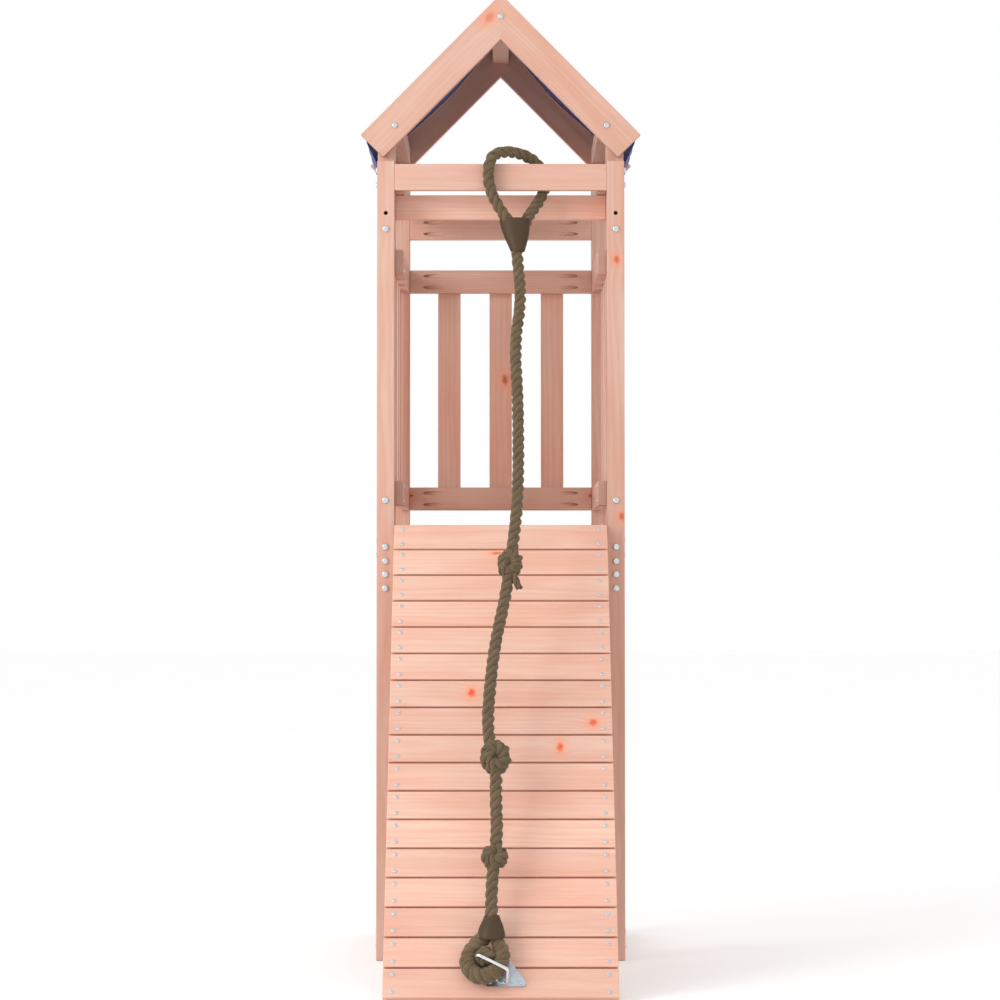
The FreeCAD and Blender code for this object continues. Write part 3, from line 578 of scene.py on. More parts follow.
@dataclass(frozen=True)
class PaleStudioPaint:
    """Matt off-white paint for the studio floor."""

    colour: str = "FFFFFF"

    def build(self, name: str) -> bpy.types.Material:
        """Make the finish."""
        material, tree, shader = new_material(name)
        place = add_node(tree, "ShaderNodeTexCoord").outputs["Object"]
        cloud = add_node(tree, "ShaderNodeTexNoise", {"Vector": place, "Scale": 1.5})
        tone = add_node(tree, "ShaderNodeMapRange", {
            "Value": cloud.outputs["Fac"], "To Min": 0.975, "To Max": 0.995}).outputs["Result"]
        colour = add_node(tree, "ShaderNodeMix", {0: 1.0, 6: linear(self.colour), 7: tone},
                          data_type="RGBA", blend_type="MULTIPLY").outputs[2]
        tree.links.new(colour, shader.inputs["Base Color"])
        shader.inputs["Roughness"].default_value = 0.9
        return material


# ------------------------------------------------------------------------------ timber
class Grain(Enum):
    """The way a board's grain runs."""

    ACROSS = (1.0, 0.0, 0.0)
    DEEP = (0.0, 1.0, 0.0)
    UPRIGHT = (0.0, 0.0, 1.0)


class Face(Enum):
    """The way a board's broad face looks."""

    SIDE = (1.0, 0.0, 0.0)
    FRONT = (0.0, -1.0, 0.0)
    TOP = (0.0, 0.0, 1.0)


def turn_to(along: Vector, through: Vector) -> Matrix:
    """The turn from the row frame to a board's own axes.

    Args:
        along: the way that the grain runs.
        through: the way that the broad face looks.

    Returns:
        A rotation that takes along to X and through to Z.
    """
    along, through = along.normalized(), through.normalized()
    return Matrix((along, through.cross(along), through))


@dataclass(frozen=True)
class Timber:
    """A node of one or more boards that are cut alike."""

    node: str
    grain: Vector
    face: Vector
    tone: float = 1.0
    knots: tuple[Knot, ...] = ()
    pitch: float = 0.0

    def dress(self, finish: PlanedDouglasFir, seed: int) -> None:
        """Give the node its wood.

        Args:
            finish: the wood.
            seed: picks the board's place in the log.
        """
        low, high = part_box(self.node)
        wood = finish.build(f"douglas_fir_{self.node}", (low + high) / 2,
                            turn_to(self.grain, self.face), seed, self.tone, self.knots,
                            self.pitch)
        dress(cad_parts[self.node], wood)


def straight(node: str, grain: Grain, face: Face, tone: float = 1.0,
             knots: tuple[Knot, ...] = (), pitch: float = 0.0) -> Timber:
    """A board that lies square to the frame."""
    return Timber(node, Vector(grain.value), Vector(face.value), tone, knots, pitch)


@dataclass
class PlayTower:
    """Four posts with their rails, guard panels and deck."""

    slat_pitch: float = 117.0 * MM
    rail_pitch: float = 537.0 * MM
    deck_pitch: float = 62.6 * MM

    def timbers(self) -> list[Timber]:
        """The tower's boards."""
        across, deep, upright = Grain.ACROSS, Grain.DEEP, Grain.UPRIGHT
        side, front, top = Face.SIDE, Face.FRONT, Face.TOP
        rail_knots = (Knot(-0.204, -0.240, 0.008, 0.004, "9E4C30"),
                      Knot(0.205, -0.240, 0.008, 0.004, "9E4C30"))
        slat_knots = (Knot(0.025, -0.010, 0.014, 0.008, "B0583A"),)
        return [
            straight("front_left_post", upright, front, 0.99),
            straight("front_right_post", upright, front, 1.0),
            straight("back_left_post", upright, front, 0.98),
            straight("back_right_post", upright, front, 1.0),
            straight("left_head_rail", deep, side, 0.98),
            straight("right_head_rail", deep, side, 1.0),
            # The front head rail's tone of 1.2 is painted light, making up for the shadow that the
            # rope bar casts on it.
            straight("front_head_rail", across, front, 1.2),
            straight("back_head_rail", across, front, 0.99),
            straight("left_guard_rails", deep, side, 1.0, pitch=self.rail_pitch),
            straight("right_guard_rails", deep, side, 0.98, pitch=self.rail_pitch),
            straight("back_guard_rails", across, front, 0.94, rail_knots, self.rail_pitch),
            straight("left_guard_slats", upright, side, 1.0, pitch=self.slat_pitch),
            straight("right_guard_slats", upright, side, 1.02, pitch=self.slat_pitch),
            straight("back_guard_slats", upright, front, 1.02, slat_knots, self.slat_pitch),
            straight("left_deck_rail", deep, side, 0.97),
            straight("right_deck_rail", deep, side, 1.0),
            straight("front_deck_rail", across, front, 0.98),
            straight("back_deck_rail", across, front, 1.0),
            straight("left_ground_rail", deep, side, 1.0),
            straight("right_ground_rail", deep, side, 0.97),
            straight("back_ground_rail", across, front, 0.98),
            straight("deck_boards", across, top, 1.0, pitch=self.deck_pitch),
        ]


@dataclass
class RoofTimber:
    """The purlins and the four sloping gable boards."""

    pitch_degrees: float = 45.35

    def timbers(self) -> list[Timber]:
        """The roof's boards."""
        slope = math.radians(self.pitch_degrees)
        boards = [straight(node, Grain.DEEP, Face.SIDE, tone)
                  for node, tone in (("ridge_purlin", 0.94), ("left_eaves_purlin", 0.98),
                                     ("right_eaves_purlin", 1.0))]
        blush = (Knot(0.176, -0.002, 0.015, 0.010, "CE7C62"),)
        for end, side, tone, knots in (("front_left", -1, 0.93, blush), ("front_right", 1, 0.94, ()),
                                       ("back_left", -1, 0.98, ()), ("back_right", 1, 0.97, ())):
            grain = Vector((-side * math.cos(slope), 0, math.sin(slope)))
            boards.append(Timber(f"{end}_gable_board", grain, Vector(Face.FRONT.value), tone, knots))
        return boards


@dataclass
class ClimbingRamp:
    """The sloping wall: two stringers under seventeen boards."""

    lean_degrees: float = 32.64
    # Painted light: the ramp boards look up towards the lamp, and tones of about 1.12 paint that extra
    # light into their wood; the spread about it is each board's own tone.
    painted_light_and_board_tones: tuple[float, ...] = (1.13, 1.14, 1.12, 1.16, 1.12, 1.12, 1.07, 1.06, 1.06, 1.12, 1.13, 1.21,
                                1.12, 1.20, 1.10, 1.15, 1.10)
    knots: dict[int, tuple[Knot, ...]] = field(default_factory=lambda: {
        2: (Knot(-0.008, 0.022, 0.014, 0.004, "D0684A"),),
        7: (Knot(-0.059, 0.002, 0.009, 0.011, "F0481C"),),
        8: (Knot(0.186, -0.004, 0.010, 0.009, "DC5A34"),),
        9: (Knot(0.119, 0.003, 0.008, 0.012, "E85A34"),),
    })

    def timbers(self) -> list[Timber]:
        """The ramp's boards."""
        lean = math.radians(self.lean_degrees)
        up_slope = Vector((0, math.sin(lean), math.cos(lean)))
        out = Vector((0, -math.cos(lean), math.sin(lean)))
        boards = [Timber(f"{side}_stringer", up_slope, Vector(Face.SIDE.value), 0.97)
                  for side in ("left", "right")]
        for number, tone in enumerate(self.painted_light_and_board_tones, 1):
            boards.append(Timber(f"ramp_board_{number:02d}", Vector(Grain.ACROSS.value), out, tone,
                                 self.knots.get(number, ())))
        return boards


@dataclass
class RopeGallows:
    """The two uprights before the tower, and the bar between them that the rope hangs from."""

    def timbers(self) -> list[Timber]:
        """The uprights and the bar."""
        right_knots = (Knot(0.635, -0.002, 0.010, 0.007, "C85A3A"),
                       Knot(0.090, -0.012, 0.010, 0.007, "C85A3A"))
        return [straight("left_upright", Grain.UPRIGHT, Face.FRONT, 0.93),
                straight("right_upright", Grain.UPRIGHT, Face.FRONT, 0.92, right_knots),
                straight("rope_bar", Grain.ACROSS, Face.FRONT, 0.95)]


@dataclass
class Hardware:
    """Bolts, nuts, screws, the anchor plate and its ring, all zinc plated."""

    finishes: dict[str, ZincPlatedSteel] = field(default_factory=lambda: {
        "frame_bolts": ZincPlatedSteel(spangle=2.5 * MM, roughness=0.28),
        "bolt_nuts": ZincPlatedSteel(spangle=2.5 * MM, roughness=0.30),
        "wood_screws": ZincPlatedSteel(spangle=2.0 * MM, roughness=0.34),
        "anchor_plate": ZincPlatedSteel("C9D2D8", "A3B0BA", 7.0 * MM, 0.42),
        "anchor_ring": ZincPlatedSteel("E6E8EA", "C2C8CE", 3.0 * MM, 0.22),
    })

    def dress(self) -> None:
        """Give each metal node its zinc."""
        for node, finish in self.finishes.items():
            dress(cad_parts[node], finish.build(f"zinc_plated_steel_{node}"))


# ------------------------------------------------------------------------------ rope
def points_on(route: Iterable[Sequence[float]], name: str, step: float,
              closed: bool = False) -> list[Vector]:
    """Points read from a smooth line through a route.

    Args:
        route: the control points of one NURBS spline, in metres.
        name: a name for the line while it is read.
        step: the distance between two points.
        closed: whether the line is a loop.

    Returns:
        Points along the line, a step apart.
    """
    curve = bpy.data.curves.new(name, "CURVE")
    curve.dimensions = "3D"
    curve.resolution_u = 24
    spline = curve.splines.new("NURBS")
    route = [Vector(point) for point in route]
    spline.points.add(len(route) - 1)
    for control, point in zip(spline.points, route):
        control.co = (*point, 1.0)
    spline.order_u = 3
    spline.use_endpoint_u = not closed
    spline.use_cyclic_u = closed
    line = bpy.data.objects.new(name, curve)
    mesh = bpy.data.meshes.new_from_object(line)
    fine = [vertex.co.copy() for vertex in mesh.vertices]
    bpy.data.objects.remove(line)
    bpy.data.curves.remove(curve)
    bpy.data.meshes.remove(mesh)
    if closed:
        fine.append(fine[0].copy())
    reached = [0.0]
    for here, there in zip(fine, fine[1:]):
        reached.append(reached[-1] + (there - here).length)
    count = max(2, round(reached[-1] / step))
    even, index = [], 0
    for number in range(count + 1):
        target = reached[-1] * number / count
        while index < len(fine) - 2 and reached[index + 1] < target:
            index += 1
        span = max(reached[index + 1] - reached[index], 1e-9)
        even.append(fine[index].lerp(fine[index + 1], min((target - reached[index]) / span, 1.0)))
    return even


def frames_along(points: Sequence[Vector]) -> list[tuple[Vector, Vector, Vector]]:
    """Axes that follow a line without turning about it.

    Args:
        points: the line.

    Returns:
        The tangent and two square directions at each point.
    """
    tangents = []
    for index in range(len(points)):
        before, after = points[max(index - 1, 0)], points[min(index + 1, len(points) - 1)]
        tangents.append((after - before).normalized())
    side = tangents[0].orthogonal().normalized()
    axes = []
    for tangent in tangents:
        side = (side - tangent * side.dot(tangent)).normalized()
        axes.append((tangent, side, tangent.cross(side)))
    return axes


@dataclass(frozen=True)
class RopeLay:
    """How the rope is laid up: strands twisted about each other."""

    diameter: float = 25.0 * MM
    strands: int = 3
    lay_length: float = 56.0 * MM
    coiled_lay_length: float = 36.0 * MM
    step: float = 2.5 * MM
    sides: int = 14
    lumpiness: float = 0.13
    knob_pitch: float = 18.0 * MM
    pressed: float = 1.07
    coil_swell: float = 1.28

    @property
    def strand_radius(self) -> float:
        """Radius of one strand, when each presses on its neighbours."""
        return self.pressed * self.diameter / 2 / (1 + 1 / math.sin(math.pi / self.strands))

    def wind(self, bm: bmesh.types.BMesh, line: Sequence[Vector], coiled_from: float = math.inf,
             scale: float = 1.0, seed: int = 0) -> None:
        """Lay the strands along a line.

        Args:
            bm: gets the strands.
            line: the rope's middle, a step apart.
            coiled_from: the distance along the line past which the lay is tighter.
            scale: makes the rope thinner where it is pulled tight.
            seed: picks where the strands swell.
        """
        dice = random.Random(seed)
        axes = frames_along(line)
        turned, walked, angles, walks, fatness = 0.0, 0.0, [], [], []
        for index, point in enumerate(line):
            if index:
                span = (point - line[index - 1]).length
                walked += span
                lay = self.lay_length if walked < coiled_from else self.coiled_lay_length
                turned += 2 * math.pi * span / lay
            angles.append(turned)
            walks.append(walked)
            swollen = min(max((walked - coiled_from) / (20 * MM), 0.0), 1.0)
            fatness.append(scale * (1 + (self.coil_swell - 1) * swollen))
        for strand in range(self.strands):
            phase = 2 * math.pi * strand / self.strands
            swell_at, swell_fine = dice.uniform(0, 6.3), dice.uniform(0, 6.3)
            middles, sizes = [], []
            for point, (_, side, up), angle, walk, fat in zip(line, axes, angles, walks, fatness):
                swell = 1 + self.lumpiness * (
                    0.35 * math.sin(walk * 83 + swell_at)
                    + 0.65 * math.sin(walk * 2 * math.pi / self.knob_pitch + swell_fine))
                outward = side * math.cos(angle + phase) + up * math.sin(angle + phase)
                radius = self.strand_radius * fat
                middles.append(point + outward * (self.diameter / 2 * fat - radius))
                sizes.append(radius * swell)
            self._sweep(bm, middles, sizes, line, walks, fatness)

    def _sweep(self, bm: bmesh.types.BMesh, middles: Sequence[Vector], sizes: Sequence[float],
               line: Sequence[Vector], walks: Sequence[float],
               fatness: Sequence[float]) -> None:
        """Sweep one strand and write its yarn map and its crest attribute, which places the painted
        shade in the rope's grooves.

        Args:
            bm: gets the strand.
            middles: the strand's middle at each ring.
            sizes: its radius there.
            line: the rope's middle there.
            walks: the distance along the rope there.
            fatness: how swollen the rope is there.
        """
        strand = bmesh.new()
        crest = strand.verts.layers.float.new("crest")
        yarn = strand.loops.layers.uv.new("yarn")
        axes = frames_along(middles)
        made = bmesh.ops.create_circle(strand, cap_ends=False, segments=self.sides, radius=1.0)
        ring = list(made["verts"])
        place: dict[bmesh.types.BMVert, tuple[int, int]] = {}
        angles = [2 * math.pi * number / self.sides for number in range(self.sides)]
        for index, (middle, size, centre) in enumerate(zip(middles, sizes, line)):
            if index:
                edges = [strand.edges.get((ring[k], ring[(k + 1) % self.sides]))
                         for k in range(self.sides)]
                grown = bmesh.ops.extrude_edge_only(strand, edges=edges)["geom"]
                new = [item for item in grown if isinstance(item, bmesh.types.BMVert)]
                fresh = set(new)
                following = []
                for vertex in ring:
                    following.append(next(edge.other_vert(vertex) for edge in vertex.link_edges
                                          if edge.other_vert(vertex) in fresh))
                ring = following
            _, side, up = axes[index]
            outer = self.diameter / 2 * fatness[index]
            for number, vertex in enumerate(ring):
                outward = side * math.cos(angles[number]) + up * math.sin(angles[number])
                vertex.co = middle + outward * size
                # Crest: 0 near the rope's middle and 1 at its outside, the mask of the painted groove
                # shade.
                vertex[crest] = min(max(((vertex.co - centre).length / outer - 0.35) / 0.65, 0), 1)
                place[vertex] = (index, number)
        bmesh.ops.holes_fill(strand, edges=[edge for edge in strand.edges if edge.is_boundary],
                             sides=0)
        girth = 2 * math.pi * self.strand_radius
        for face in strand.faces:
            numbers = [place[loop.vert][1] for loop in face.loops]
            wraps = 0 in numbers and self.sides - 1 in numbers
            for loop, number in zip(face.loops, numbers):
                turn = self.sides if wraps and number == 0 else number
                loop[yarn].uv = (walks[place[loop.vert][0]], turn / self.sides * girth)
        bmesh.ops.recalc_face_normals(strand, faces=strand.faces)
        joined = bpy.data.meshes.new("strand")
        strand.to_mesh(joined)
        strand.free()
        bm.from_mesh(joined)
        bpy.data.meshes.remove(joined)


@dataclass(frozen=True)
class RopeKnot:
    """An overhand knot drawn tight: its middle, the rope's way through it, and its half sizes."""

    middle: tuple[float, float, float]
    towards: tuple[float, float, float]
    half_width: float
    half_length: float
    spin_degrees: float = 0.0
    tail: Optional[tuple[tuple[float, float, float], ...]] = None


@dataclass
class ClimbingRope:
    """The rope from its eye over the bar to its eye through the anchor ring, with three knots."""

    front_y: float
    lay: RopeLay = RopeLay()
    real_length: float = 2.2
    coil_length: float = 0.20
    route: tuple[tuple[float, float, float], ...] = (
        (44, -6, 1530), (53, -1, 1566), (77, 20, 1600), (92, 34, 1627), (95, 37, 1655),
        (84, 36, 1685), (56, 26, 1706), (16, 6, 1713), (-17, -13, 1703), (-27, -18, 1672),
        (-24, -17, 1630), (-5, -16, 1590), (20, -15, 1556), (32, -18, 1522), (36, -23, 1473),
        (43, -52, 1390), (29, -87, 1293), (36, -130, 1175), (37, -174, 1059), (33, -222, 935),
        (19, -263, 833), (9, -292, 762), (-11, -330, 673), (-22, -367, 585), (-27, -405, 498),
        (-9, -431, 440), (-10, -460, 374), (-6, -490, 309), (-15, -520, 244), (-18, -545, 190),
        (-17, -566, 144), (-14, -577, 125), (1, -585, 101), (3, -595, 77), (-8, -606, 59),
        (-31, -609, 49), (-53, -602, 53), (-65, -587, 70), (-59, -576, 93), (-42, -574, 108),
        (-30, -570, 122))
    knots: tuple[RopeKnot, ...] = (
        RopeKnot((19, -263, 833), (9, -292, 762), 28, 35, 20.0,
                 ((24, -276, 812), (33, -284, 797), (37, -288, 783))),
        RopeKnot((-10, -427, 452), (-9, -431, 440), 33, 39, 140.0),
        RopeKnot((-12, -510, 266), (-15, -520, 244), 29, 27, 250.0),
        RopeKnot((-29, -588, 84), (-33, -602, 62), 23, 21, 35.0))
    upper_sleeve: tuple[tuple[tuple[float, float, float], float, float], ...] = (
        ((29, -9, 1567), 31, 22), ((29, -9, 1560), 33, 23.5), ((33, -13, 1530), 28, 21),
        ((35, -18, 1508), 19, 17.5), ((36, -21, 1494), 15, 15))
    lower_sleeve: tuple[tuple[tuple[float, float, float], float, float], ...] = (
        ((-17, -560, 160), 14.5, 14.5), ((-17, -563, 151), 17, 16.5),
        ((-18, -568, 140), 23.5, 21.5), ((-18, -573, 124), 27, 24), ((-18, -574, 118), 26.5, 23.5))
    knot_rope: float = 9.5
    knot_depth: float = 11.0
    knot_scale: float = 0.84
    sleeve_wall: float = 1.6 * MM
    sleeve_sides: int = 40

    def at(self, point: Sequence[float]) -> Vector:
        """A point of the rope's own plan, in millimetres, brought to the row frame in metres."""
        return Vector((point[0] * MM, self.front_y + point[1] * MM, point[2] * MM))

    def build(self, fibre: TwistedFibre, sleeve: ShrunkSleeve) -> list[bpy.types.Object]:
        """Args:
            fibre: the rope's finish.
            sleeve: the sleeves' finish.

        Returns:
            The three pieces.
        """
        line = points_on([self.at(point) for point in self.route], "rope_line", self.lay.step)
        walked = sum((b - a).length for a, b in zip(line, line[1:]))
        hemp = fibre.build("twisted_synthetic_hemp")
        strands = bmesh.new()
        self.lay.wind(strands, line, walked - self.coil_length, 1.0, 11)
        rope = add_piece("climbing_rope_strands", strands, hemp)
        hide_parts("climbing_rope")
        knots = add_piece("climbing_rope_knots", self._knot_shape(), hemp)
        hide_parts("rope_knots")
        sleeves = add_piece("rope_eye_sleeves", self._sleeve_shape(), sleeve.build(
            "heat_shrunk_sleeve"))
        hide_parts("rope_sleeves")
        self._finish_sleeves(sleeves)
        return [rope, knots, sleeves]

    def _knot_shape(self) -> bmesh.types.BMesh:
        """Wind the rope on itself for each knot, as an overhand knot drawn tight."""
        bm = bmesh.new()
        for number, knot in enumerate(self.knots):
            down = (Vector(knot.towards) - Vector(knot.middle)).normalized()
            across = Vector((1, 0, 0))
            across = (across - down * across.dot(down)).normalized()
            deep = down.cross(across)
            wide = (knot.half_width - self.knot_rope) / 3
            tall = (knot.half_length - self.knot_rope) / 3
            for winding in (0, 1):
                spin = math.radians(knot.spin_degrees + 60 * winding)
                turns = []
                for step in range(18):
                    angle = 2 * math.pi * step / 18
                    reach = 2 + math.cos(3 * angle)
                    x = reach * math.cos(2 * angle + spin)
                    z = reach * math.sin(2 * angle + spin)
                    turns.append(self.at(Vector(knot.middle) + across * x * wide
                                         + down * z * tall
                                         + deep * math.sin(3 * angle) * self.knot_depth))
                line = points_on(turns, "knot_line", self.lay.step, closed=True)
                self.lay.wind(bm, line, math.inf, self.knot_scale, 21 + 2 * number + winding)
            if knot.tail:
                tail = points_on([self.at(point) for point in knot.tail], "tail_line",
                                 self.lay.step)
                self.lay.wind(bm, tail, math.inf, 0.62, 31)
        return bm

    def _sleeve_shape(self) -> bmesh.types.BMesh:
        """Draw both sleeves as open tubes through their sections."""
        bm = bmesh.new()
        for sections in (self.upper_sleeve, self.lower_sleeve):
            ring: list[bmesh.types.BMVert] = []
            for centre, half_width, half_depth in sections:
                if not ring:
                    ring = list(bmesh.ops.create_circle(
                        bm, cap_ends=False, segments=self.sleeve_sides, radius=1.0)["verts"])
                else:
                    edges = [bm.edges.get((ring[k], ring[(k + 1) % len(ring)]))
                             for k in range(len(ring))]
                    grown = bmesh.ops.extrude_edge_only(bm, edges=edges)["geom"]
                    fresh = {item for item in grown if isinstance(item, bmesh.types.BMVert)}
                    ring = [next(edge.other_vert(vertex) for edge in vertex.link_edges
                                 if edge.other_vert(vertex) in fresh) for vertex in ring]
                for number, vertex in enumerate(ring):
                    angle = 2 * math.pi * number / len(ring)
                    vertex.co = self.at((centre[0] + half_width * math.cos(angle),
                                         centre[1] + half_depth * math.sin(angle), centre[2]))
        bmesh.ops.recalc_face_normals(bm, faces=bm.faces)
        return bm

    def _finish_sleeves(self, sleeves: bpy.types.Object) -> None:
        """Give the sleeves their wall and round them."""
        wall = sleeves.modifiers.new("wall", "SOLIDIFY")
        wall.thickness = self.sleeve_wall
        wall.offset = -1.0
        rounding = sleeves.modifiers.new("rounding", "SUBSURF")
        rounding.levels = rounding.render_levels = 2


# ------------------------------------------------------------------------------ canopy
@dataclass
class RoofCanopy:
    """One sheet of cloth over the ridge, folded under the eaves and pinned to the posts."""

    hem_x: float = 264.0 * MM
    hem_z: float = 1672.0 * MM
    hem_flat: float = 18.0 * MM
    thickness: float = 1.2 * MM
    hem_width: float = 20.0 * MM
    end_hem_width: float = 14.0 * MM
    hem_lift: float = 0.5 * MM
    sag: float = 9.0 * MM
    cell: float = 7.0 * MM

    def build(self, cloth: WovenCanopyCloth) -> bpy.types.Object:
        """Args:
            cloth: its finish.

        Returns:
            The canopy.
        """
        low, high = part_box("roof_canopy")
        line, corners = self._line(high)
        reached = [0.0]
        for here, there in zip(line, line[1:]):
            reached.append(reached[-1] + (there - here).length)
        width, depth = reached[-1], high.y - low.y
        stations = self._stations(width, self.hem_width)
        rows = self._stations(depth, self.end_hem_width)
        bm = bmesh.new()
        sheet_map = bm.loops.layers.uv.new("cloth")
        bmesh.ops.create_grid(bm, x_segments=len(stations) - 1, y_segments=len(rows) - 1, size=0.5)
        flat: dict[bmesh.types.BMVert, tuple[float, float]] = {}
        for vertex in bm.verts:
            column = round((vertex.co.x + 0.5) * (len(stations) - 1))
            row = round((vertex.co.y + 0.5) * (len(rows) - 1))
            flat[vertex] = (stations[column], rows[row])
        for vertex, (along, back) in flat.items():
            point, outward = self._hang(line, reached, along)
            in_hem = min(along, width - along) < self.hem_width - 0.1 * MM
            in_end = min(back, depth - back) < self.end_hem_width - 0.1 * MM
            lift = (self.hem_lift if in_hem else 0.0) + (self.hem_lift if in_end else 0.0)
            lift += self._pucker(along, back, width, depth, reached, corners)
            point = point + outward * lift
            vertex.co = (point.x, low.y + back, point.z)
        for face in bm.faces:
            for loop in face.loops:
                loop[sheet_map].uv = flat[loop.vert]
        bmesh.ops.recalc_face_normals(bm, faces=bm.faces)
        stitches = (self.hem_width - 3 * MM, width / 2 - 4 * MM, width / 2 + 4 * MM,
                    width - self.hem_width + 3 * MM)
        canopy = add_piece("roof_canopy_cloth", bm, cloth.build("coated_woven_polyester", stitches))
        wall = canopy.modifiers.new("cloth thickness", "SOLIDIFY")
        wall.thickness = self.thickness
        wall.offset = 0.0
        rounding = canopy.modifiers.new("rounding", "SUBSURF")
        rounding.levels = rounding.render_levels = 1
        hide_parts("roof_canopy")
        log.info("canopy cut: %.3f by %.3f m", width, depth)
        return canopy

    def _line(self, high: Vector) -> tuple[list[Vector], list[int]]:
        """The sheet's section from the right hem over the ridge to the left hem.

        Args:
            high: the highest corner of the room that the canopy has.

        Returns:
            The section's points, and the places of its folds and of the ridge.
        """
        half = self.thickness / 2
        peak = Vector((0, 0, high.z - 2.4 * MM))
        fold = Vector((high.x - half - 0.6 * MM, 0, 0))
        ridge_low, ridge_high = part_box("ridge_purlin")
        eaves_low, eaves_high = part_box("right_eaves_purlin")
        corner_high = Vector((ridge_high.x, 0, ridge_high.z))
        corner_low = Vector((eaves_high.x, 0, eaves_high.z))
        down = (corner_low - corner_high).normalized()
        fold.z = peak.z + down.z / down.x * fold.x
        hem = Vector((self.hem_x, 0, self.hem_z + half))
        right = [hem, hem + Vector((0, 0, self.hem_flat)), fold, peak]
        coarse = right + [Vector((-p.x, 0, p.z)) for p in reversed(right[:-1])]
        line: list[Vector] = [coarse[0]]
        for before, corner, after in zip(coarse, coarse[1:], coarse[2:]):
            cut = 6 * MM
            start = corner + (before - corner).normalized() * cut
            end = corner + (after - corner).normalized() * cut
            for step in range(7):
                share = step / 6
                line.append(start.lerp(corner, share).lerp(corner.lerp(end, share), share))
        line.append(coarse[-1])
        return line, [4, 11, 18, 25, 32]

    @staticmethod
    def _hang(line: Sequence[Vector], reached: Sequence[float],
              along: float) -> tuple[Vector, Vector]:
        """The place and the outward way of a point of the flat sheet.

        Args:
            line: the sheet's section.
            reached: the distance along the section at each of its points.
            along: the distance from the right hem.

        Returns:
            The point in the section, and the direction square to the sheet there.
        """
        index = 0
        while index < len(line) - 2 and reached[index + 1] < along:
            index += 1
        span = max(reached[index + 1] - reached[index], 1e-9)
        point = line[index].lerp(line[index + 1], min((along - reached[index]) / span, 1.0))
        way = (line[index + 1] - line[index]).normalized()
        return point, Vector((way.z, 0, -way.x))

    def _pucker(self, along: float, back: float, width: float, depth: float,
                reached: Sequence[float], corners: Sequence[int]) -> float:
        """How far the cloth leaves its stretched line.

        Args:
            along: the distance from the right hem.
            back: the distance from the front edge.
            width: the sheet's cut width.
            depth: the sheet's cut length.
            reached: the distance along the section at each of its points.
            corners: the places of the folds and of the ridge.

        Returns:
            The distance outwards, negative where the cloth sags.
        """
        from_hem = min(along, width - along)
        fold = reached[corners[1]]
        ridge = reached[corners[2]]
        lift = 0.0
        if fold + 60 * MM < from_hem < ridge - 12 * MM:
            share = (from_hem - fold - 60 * MM) / (ridge - 72 * MM - fold)
            lift -= self.sag * math.sin(math.pi * share) ** 2
            lift += 0.8 * MM * math.sin(math.pi * share) ** 2 * math.sin(back * 31 + along * 9)
        if from_hem < fold:
            between = math.sin(math.pi * back / depth) ** 2
            lift += 1.1 * MM * between * math.sin(back * 52 + 1.0) * (from_hem / fold)
        return lift

    def _stations(self, length: float, hem: float) -> list[float]:
        """Distances across the sheet at which it has an edge, close together at its hems."""
        start, end = hem + 0.5 * MM, length - hem - 0.5 * MM
        count = max(2, 2 * round((end - start) / self.cell / 2))
        middle = [start + (end - start) * number / count for number in range(count + 1)]
        hem_cells = [0.0, 1.0 * MM, hem / 2, hem - 0.5 * MM]
        return hem_cells + middle + [length - distance for distance in reversed(hem_cells)]


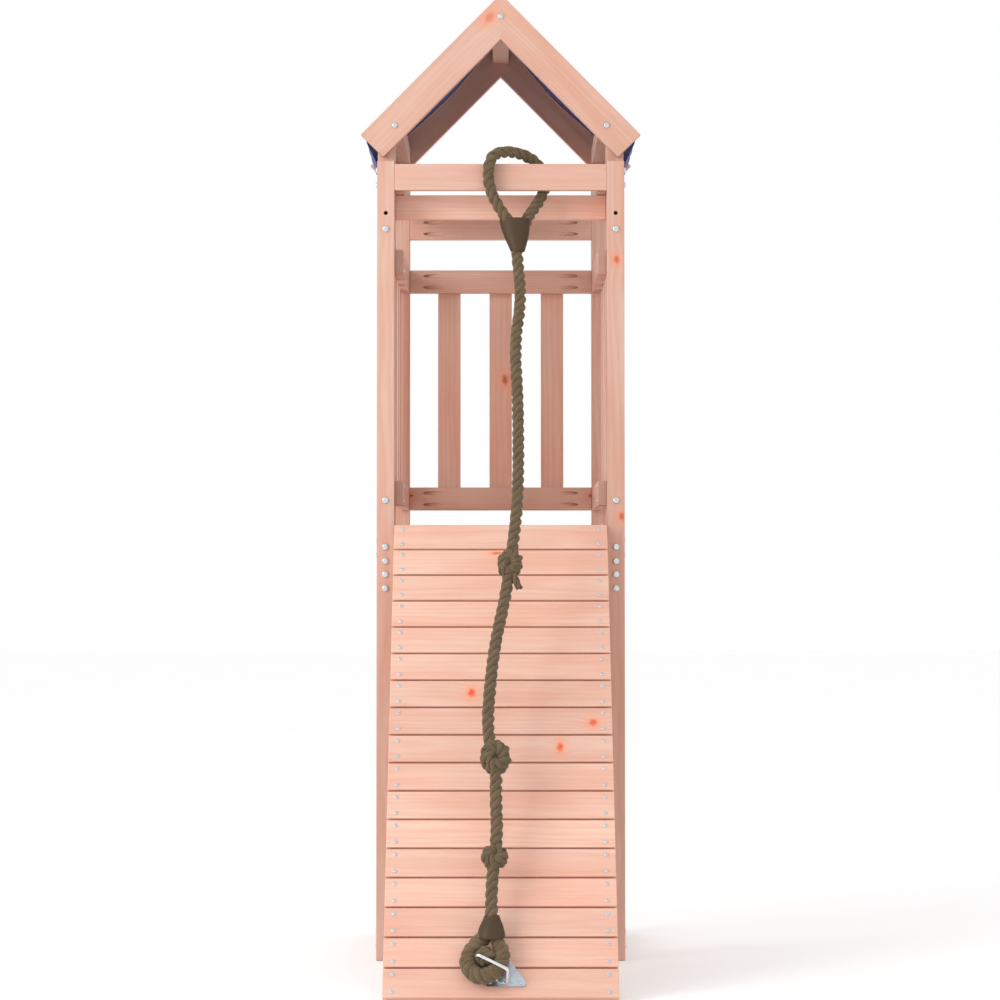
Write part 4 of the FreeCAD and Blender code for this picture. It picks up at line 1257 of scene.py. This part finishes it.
# ------------------------------------------------------------------------------ studio
@dataclass
class Studio:
    """The camera, a pale floor, a white surround and one large soft light."""

    eye: tuple[float, float, float] = (-1.5 * MM, -5.95, 0.7835)
    pitch_degrees: float = 1.796
    lens: float = 101.28
    floor_half: float = 30.0
    surround: float = 1.0
    key_watts: float = 106.0
    key_from: tuple[float, float, float] = (-3.6, -2.9, 2.6)
    key_size: float = 2.4

    def build(self, front_y: float) -> None:
        """Set up the studio.

        Args:
            front_y: the front face of the uprights, from which the eye's distance is taken.
        """
        scene = bpy.context.scene
        scene.view_settings.view_transform = "Standard"
        lens = bpy.data.cameras.new("camera")
        lens.lens = self.lens
        lens.sensor_width = 36.0
        lens.clip_end = 100.0
        camera = bpy.data.objects.new("camera", lens)
        camera.location = (self.eye[0], front_y + self.eye[1], self.eye[2])
        camera.rotation_euler = (math.radians(90 + self.pitch_degrees), 0, 0)
        scene.collection.objects.link(camera)
        scene.camera = camera
        world = bpy.data.worlds.new("white surround")
        world.use_nodes = True
        background = world.node_tree.nodes["Background"]
        background.inputs["Color"].default_value = linear("FFFFFF")
        background.inputs["Strength"].default_value = self.surround
        scene.world = world
        soft_box = bpy.data.lights.new("soft box", "AREA")
        soft_box.energy = self.key_watts
        soft_box.size = self.key_size
        lamp = bpy.data.objects.new("soft box", soft_box)
        lamp.location = (self.key_from[0], front_y + self.key_from[1], self.key_from[2])
        aim = Vector((0, front_y, 0.9)) - lamp.location
        lamp.rotation_euler = aim.to_track_quat("-Z", "Y").to_euler()
        scene.collection.objects.link(lamp)
        bm = bmesh.new()
        bmesh.ops.create_grid(bm, x_segments=8, y_segments=8, size=self.floor_half)
        bmesh.ops.translate(bm, verts=bm.verts, vec=(0, 0, -0.5 * MM))
        mesh = bpy.data.meshes.new("studio_floor")
        bm.to_mesh(mesh)
        bm.free()
        floor = bpy.data.objects.new("studio_floor", mesh)
        scene.collection.objects.link(floor)
        dress(floor, PaleStudioPaint().build("matt_studio_paint"))


def main() -> None:
    """Build the studio, the rope, the canopy and the finishes, and report each piece."""
    logging.basicConfig(level=logging.INFO, format="%(name)s: %(message)s")
    front_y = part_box("left_upright")[0].y
    Studio().build(front_y)
    pieces = ClimbingRope(front_y).build(TwistedFibre(), ShrunkSleeve())
    pieces.append(RoofCanopy().build(WovenCanopyCloth()))
    for piece in pieces:
        log.info("%s: %d faces", piece.name, len(piece.data.polygons))
    wood = PlanedDouglasFir()
    timbers = [timber for assembly in (PlayTower(), RoofTimber(), ClimbingRamp(), RopeGallows())
               for timber in assembly.timbers()]
    for seed, timber in enumerate(timbers):
        timber.dress(wood, seed)
        log.info("%s: %s", timber.node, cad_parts[timber.node].data.materials[0].name)
    Hardware().dress()


if __name__ == "__main__":
    main()
